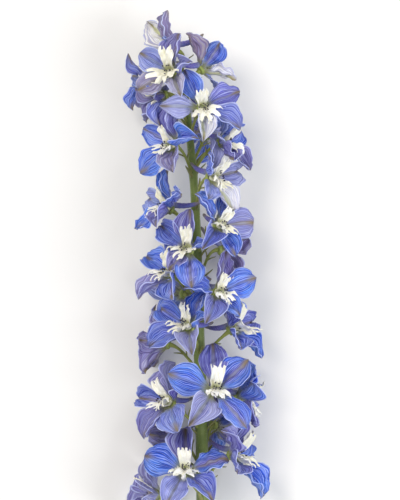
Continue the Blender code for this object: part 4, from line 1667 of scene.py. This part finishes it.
def along_stem(t):
    """The distance along the stem at a share t of its length."""
    first, last = STEM_ROUTE[0][0], STEM_ROUTE[-1][0]
    return first + (last - first) * t


def stem_radius(t):
    """The route's radius, with a swelling at each pedicel's foot and a rounded tip."""
    along = along_stem(t)
    radius = stem_point(along)[1]
    for bloom in BLOOMS:
        gap = (along - (bloom.along - PEDICEL_CLIMB)) / SWELLING_REACH
        radius += SWELLING * math.exp(-gap * gap)
    if t > STEM_TIP:
        radius *= math.sqrt(max(0.05, 1 - ((t - STEM_TIP) / (1 - STEM_TIP)) ** 2))
    return radius


stem_line = [stem_point(along_stem(k / STEM_RINGS))[0] for k in range(STEM_RINGS + 1)]
axis_piece = string(stem_rod, "axis", stem_line, stem_radius, Matrix.Identity(4))
stem_whole = joined([axis_piece], "stem.axis")
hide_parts("stem")
print("stem:", round(stem_whole.dimensions.y / MM), "mm long")

# %% [markdown]
# ## Bloom stalks and bracts
#
# Each bloom hangs on its own stalk, the pedicel, which leaves the stem above a narrow leaf,
# the bract, and swells into the receptacle under the bloom. Two tiny leaflets sit on it.

# %% Model the bract leaf
LEAF = Petal(10.0, 1.9, 30, 58, 0, 0.5, 0.55, 1.0, 0.32)
LEAF_COLUMNS = 4
LEAF_ROWS = 10
LEAF_WALL = 0.28
LEAF_GROOVE = 0.12
LEAF_TIP = 0.1

leaf_flat = strap("leaf_flat", LEAF.width, LEAF.length, LEAF_COLUMNS, LEAF_ROWS)
choose(lambda co: near(co.x, 0))
bpy.ops.transform.translate(value=(0, 0, -LEAF_GROOVE))
cut_outline(LEAF, LEAF_ROWS, LEAF_TIP)
choose(lambda co: near(co.y, LEAF.length))
bpy.ops.mesh.merge(type="CENTER")
give_wall(leaf_flat, LEAF_WALL, layered=False)
leaf_flat.data.materials.append(leaf_skin)
print("leaf pattern:", len(leaf_flat.data.polygons), "faces")

# %% Build the stalks, the bracts and the leaflets
PEDICEL_SLIM = 0.75
FOOT_FLARE = 0.35
FOOT_REACH = 0.08
SWELL_START = 0.72
SWELL_ROUND = 1.6
PEDICEL_PULL_UP = 4.0
PEDICEL_PULL_OUT = 5.0
PEDICEL_NECK = 7.0
PEDICEL_SEAT = 0.35
RECEPTACLE_RADIUS = 1.35
LEAF_CURL = 0.3
BRACT_BELOW = 2.5
BRACT_ROOTED = 0.8
BRACT_LENGTHS = (0.75, 1.1)
BRACT_SWAYS = 0.5
LEAFLET_PLACES = ((0.5, 60, 0.62), (0.6, 245, 0.5))
LEAFLET_TURNS = 30
LEAFLET_WIDTH = 0.55
LEAFLET_FOOT = 0.6


def leaving(bloom, foot):
    """At a pedicel's foot, the way that the stem climbs and the way towards the bloom."""
    climb = (stem_point(bloom.along - PEDICEL_CLIMB + PEDICEL_PULL_OUT)[0] - foot).normalized()
    away = bloom_frame(bloom).translation - stem_point(bloom.along)[0]
    away = (away - climb * away.dot(climb)).normalized()
    return climb, away


def pedicel_line(bloom):
    placing = bloom_frame(bloom)
    face = placing.to_3x3() @ Vector((0, 0, 1))
    end = placing.translation - face * HUB_DEPTH * PEDICEL_SEAT
    foot, _ = stem_point(bloom.along - PEDICEL_CLIMB)
    climb, away = leaving(bloom, foot)
    pull = foot + climb * PEDICEL_PULL_UP + away * PEDICEL_PULL_OUT
    return curve_through(foot, pull, end - face * PEDICEL_NECK, end, ROD_RINGS)


def pedicel_radius(t):
    """Wider at the foot, slim in the middle, and swelling to the receptacle."""
    foot = FOOT_FLARE * math.exp(-t / FOOT_REACH)
    late = max(0.0, (t - SWELL_START) / (1 - SWELL_START))
    return PEDICEL_SLIM + foot + (RECEPTACLE_RADIUS - PEDICEL_SLIM) * late**SWELL_ROUND


def leaf_at(place, ahead, away, form):
    """A leaf that grows at a place, out of a stalk that runs ahead, towards away."""
    placing = Matrix((away, ahead.cross(away), ahead)).transposed().to_4x4()
    placing.translation = place
    return lay(leaf_flat, "leaf", LEAF, form, 0, Vector(), placing, Feel(curl=LEAF_CURL))


def beside(line, k, turn):
    """At a step of a line, the way onward and a way out of it, turned round the line."""
    ahead = (line[k + 1] - line[k]).normalized()
    out = ahead.orthogonal().normalized()
    out.rotate(Matrix.Rotation(turn, 3, ahead))
    return ahead, out


def leaves_of(bloom, line):
    rng = draws("bract", bloom.name)
    foot, radius = stem_point(bloom.along - PEDICEL_CLIMB - BRACT_BELOW)
    climb, away = leaving(bloom, foot)
    away = (away + climb.cross(away) * rng.uniform(-BRACT_SWAYS, BRACT_SWAYS)).normalized()
    form = replace(LEAF, length=LEAF.length * rng.uniform(*BRACT_LENGTHS))
    made = [leaf_at(foot + away * radius * BRACT_ROOTED, climb, away, form)]
    for share, angle, size in LEAFLET_PLACES:
        k = round(share * ROD_RINGS)
        turn = angle + rng.uniform(-LEAFLET_TURNS, LEAFLET_TURNS)
        ahead, out = beside(line, k, math.radians(turn))
        small = replace(LEAF, length=LEAF.length * size, width=LEAF.width * LEAFLET_WIDTH)
        made.append(leaf_at(line[k] + out * LEAFLET_FOOT, ahead, out, small))
    return made


pedicel_rod.data.materials.append(stalk_skin)
stalks, leaves = [], []
for bloom in BLOOMS:
    line = pedicel_line(bloom)
    stalks.append(string(pedicel_rod, "stalk", line, pedicel_radius, Matrix.Identity(4)))
    leaves.extend(leaves_of(bloom, line))
stalk_whole = joined(stalks, "stem.pedicels")
leaf_whole = joined(leaves, "stem.bracts")
print("stalks:", len(stalk_whole.data.polygons), "faces, leaves:", len(leaf_whole.data.polygons))

# %% Short down on the stem and the stalks
STEM_HAIRS = 1600
STALK_HAIRS = 22
HAIR_LENGTHS = (0.35, 0.8)
HAIR_LEAN = 0.4
STEM_ROOTED = 0.98
STALK_ROOTED = 0.95
DOWNY = (0.01, 0.97)


def hair_on(line, k, share, radius, turn, length):
    """The placing of a hair between two steps of a line, rooted at a radius from it."""
    ahead, out = beside(line, k, turn)
    place = line[k].lerp(line[k + 1], share) + out * radius
    return pointing(place, out + ahead * HAIR_LEAN, length)


rng = draws("down")
hairs = []
for _ in range(STEM_HAIRS):
    t = rng.uniform(*DOWNY)
    k = min(int(t * STEM_RINGS), STEM_RINGS - 1)
    radius = stem_radius(t) * STEM_ROOTED
    turn, length = rng.uniform(0, math.tau), rng.uniform(*HAIR_LENGTHS)
    hairs.append(hair_on(stem_line, k, t * STEM_RINGS - k, radius, turn, length))
for bloom in BLOOMS:
    line = pedicel_line(bloom)
    for _ in range(STALK_HAIRS):
        k = rng.randrange(1, ROD_RINGS - 1)
        radius = pedicel_radius(k / ROD_RINGS) * STALK_ROOTED
        turn, share, length = rng.uniform(0, math.tau), rng.random(), rng.uniform(*HAIR_LENGTHS)
        hairs.append(hair_on(line, k, share, radius, turn, length))
joined([repeated(stem_hair, "down", hairs)], "stem.down")
print("hairs:", len(hairs))

# %% [markdown]
# ## Put the patterns away
#
# The flat patterns are not part of the flower, so they go.

# %% Clear up
for flat in (
    sepal_flat, upper_flat, *lower_flats, leaf_flat, spur_rod, pedicel_rod, stem_rod, hub_flat,
    bee_hub_flat, stem_hair, beard_hair, carpel_flat, stamen_flat
):
    bpy.data.objects.remove(flat)
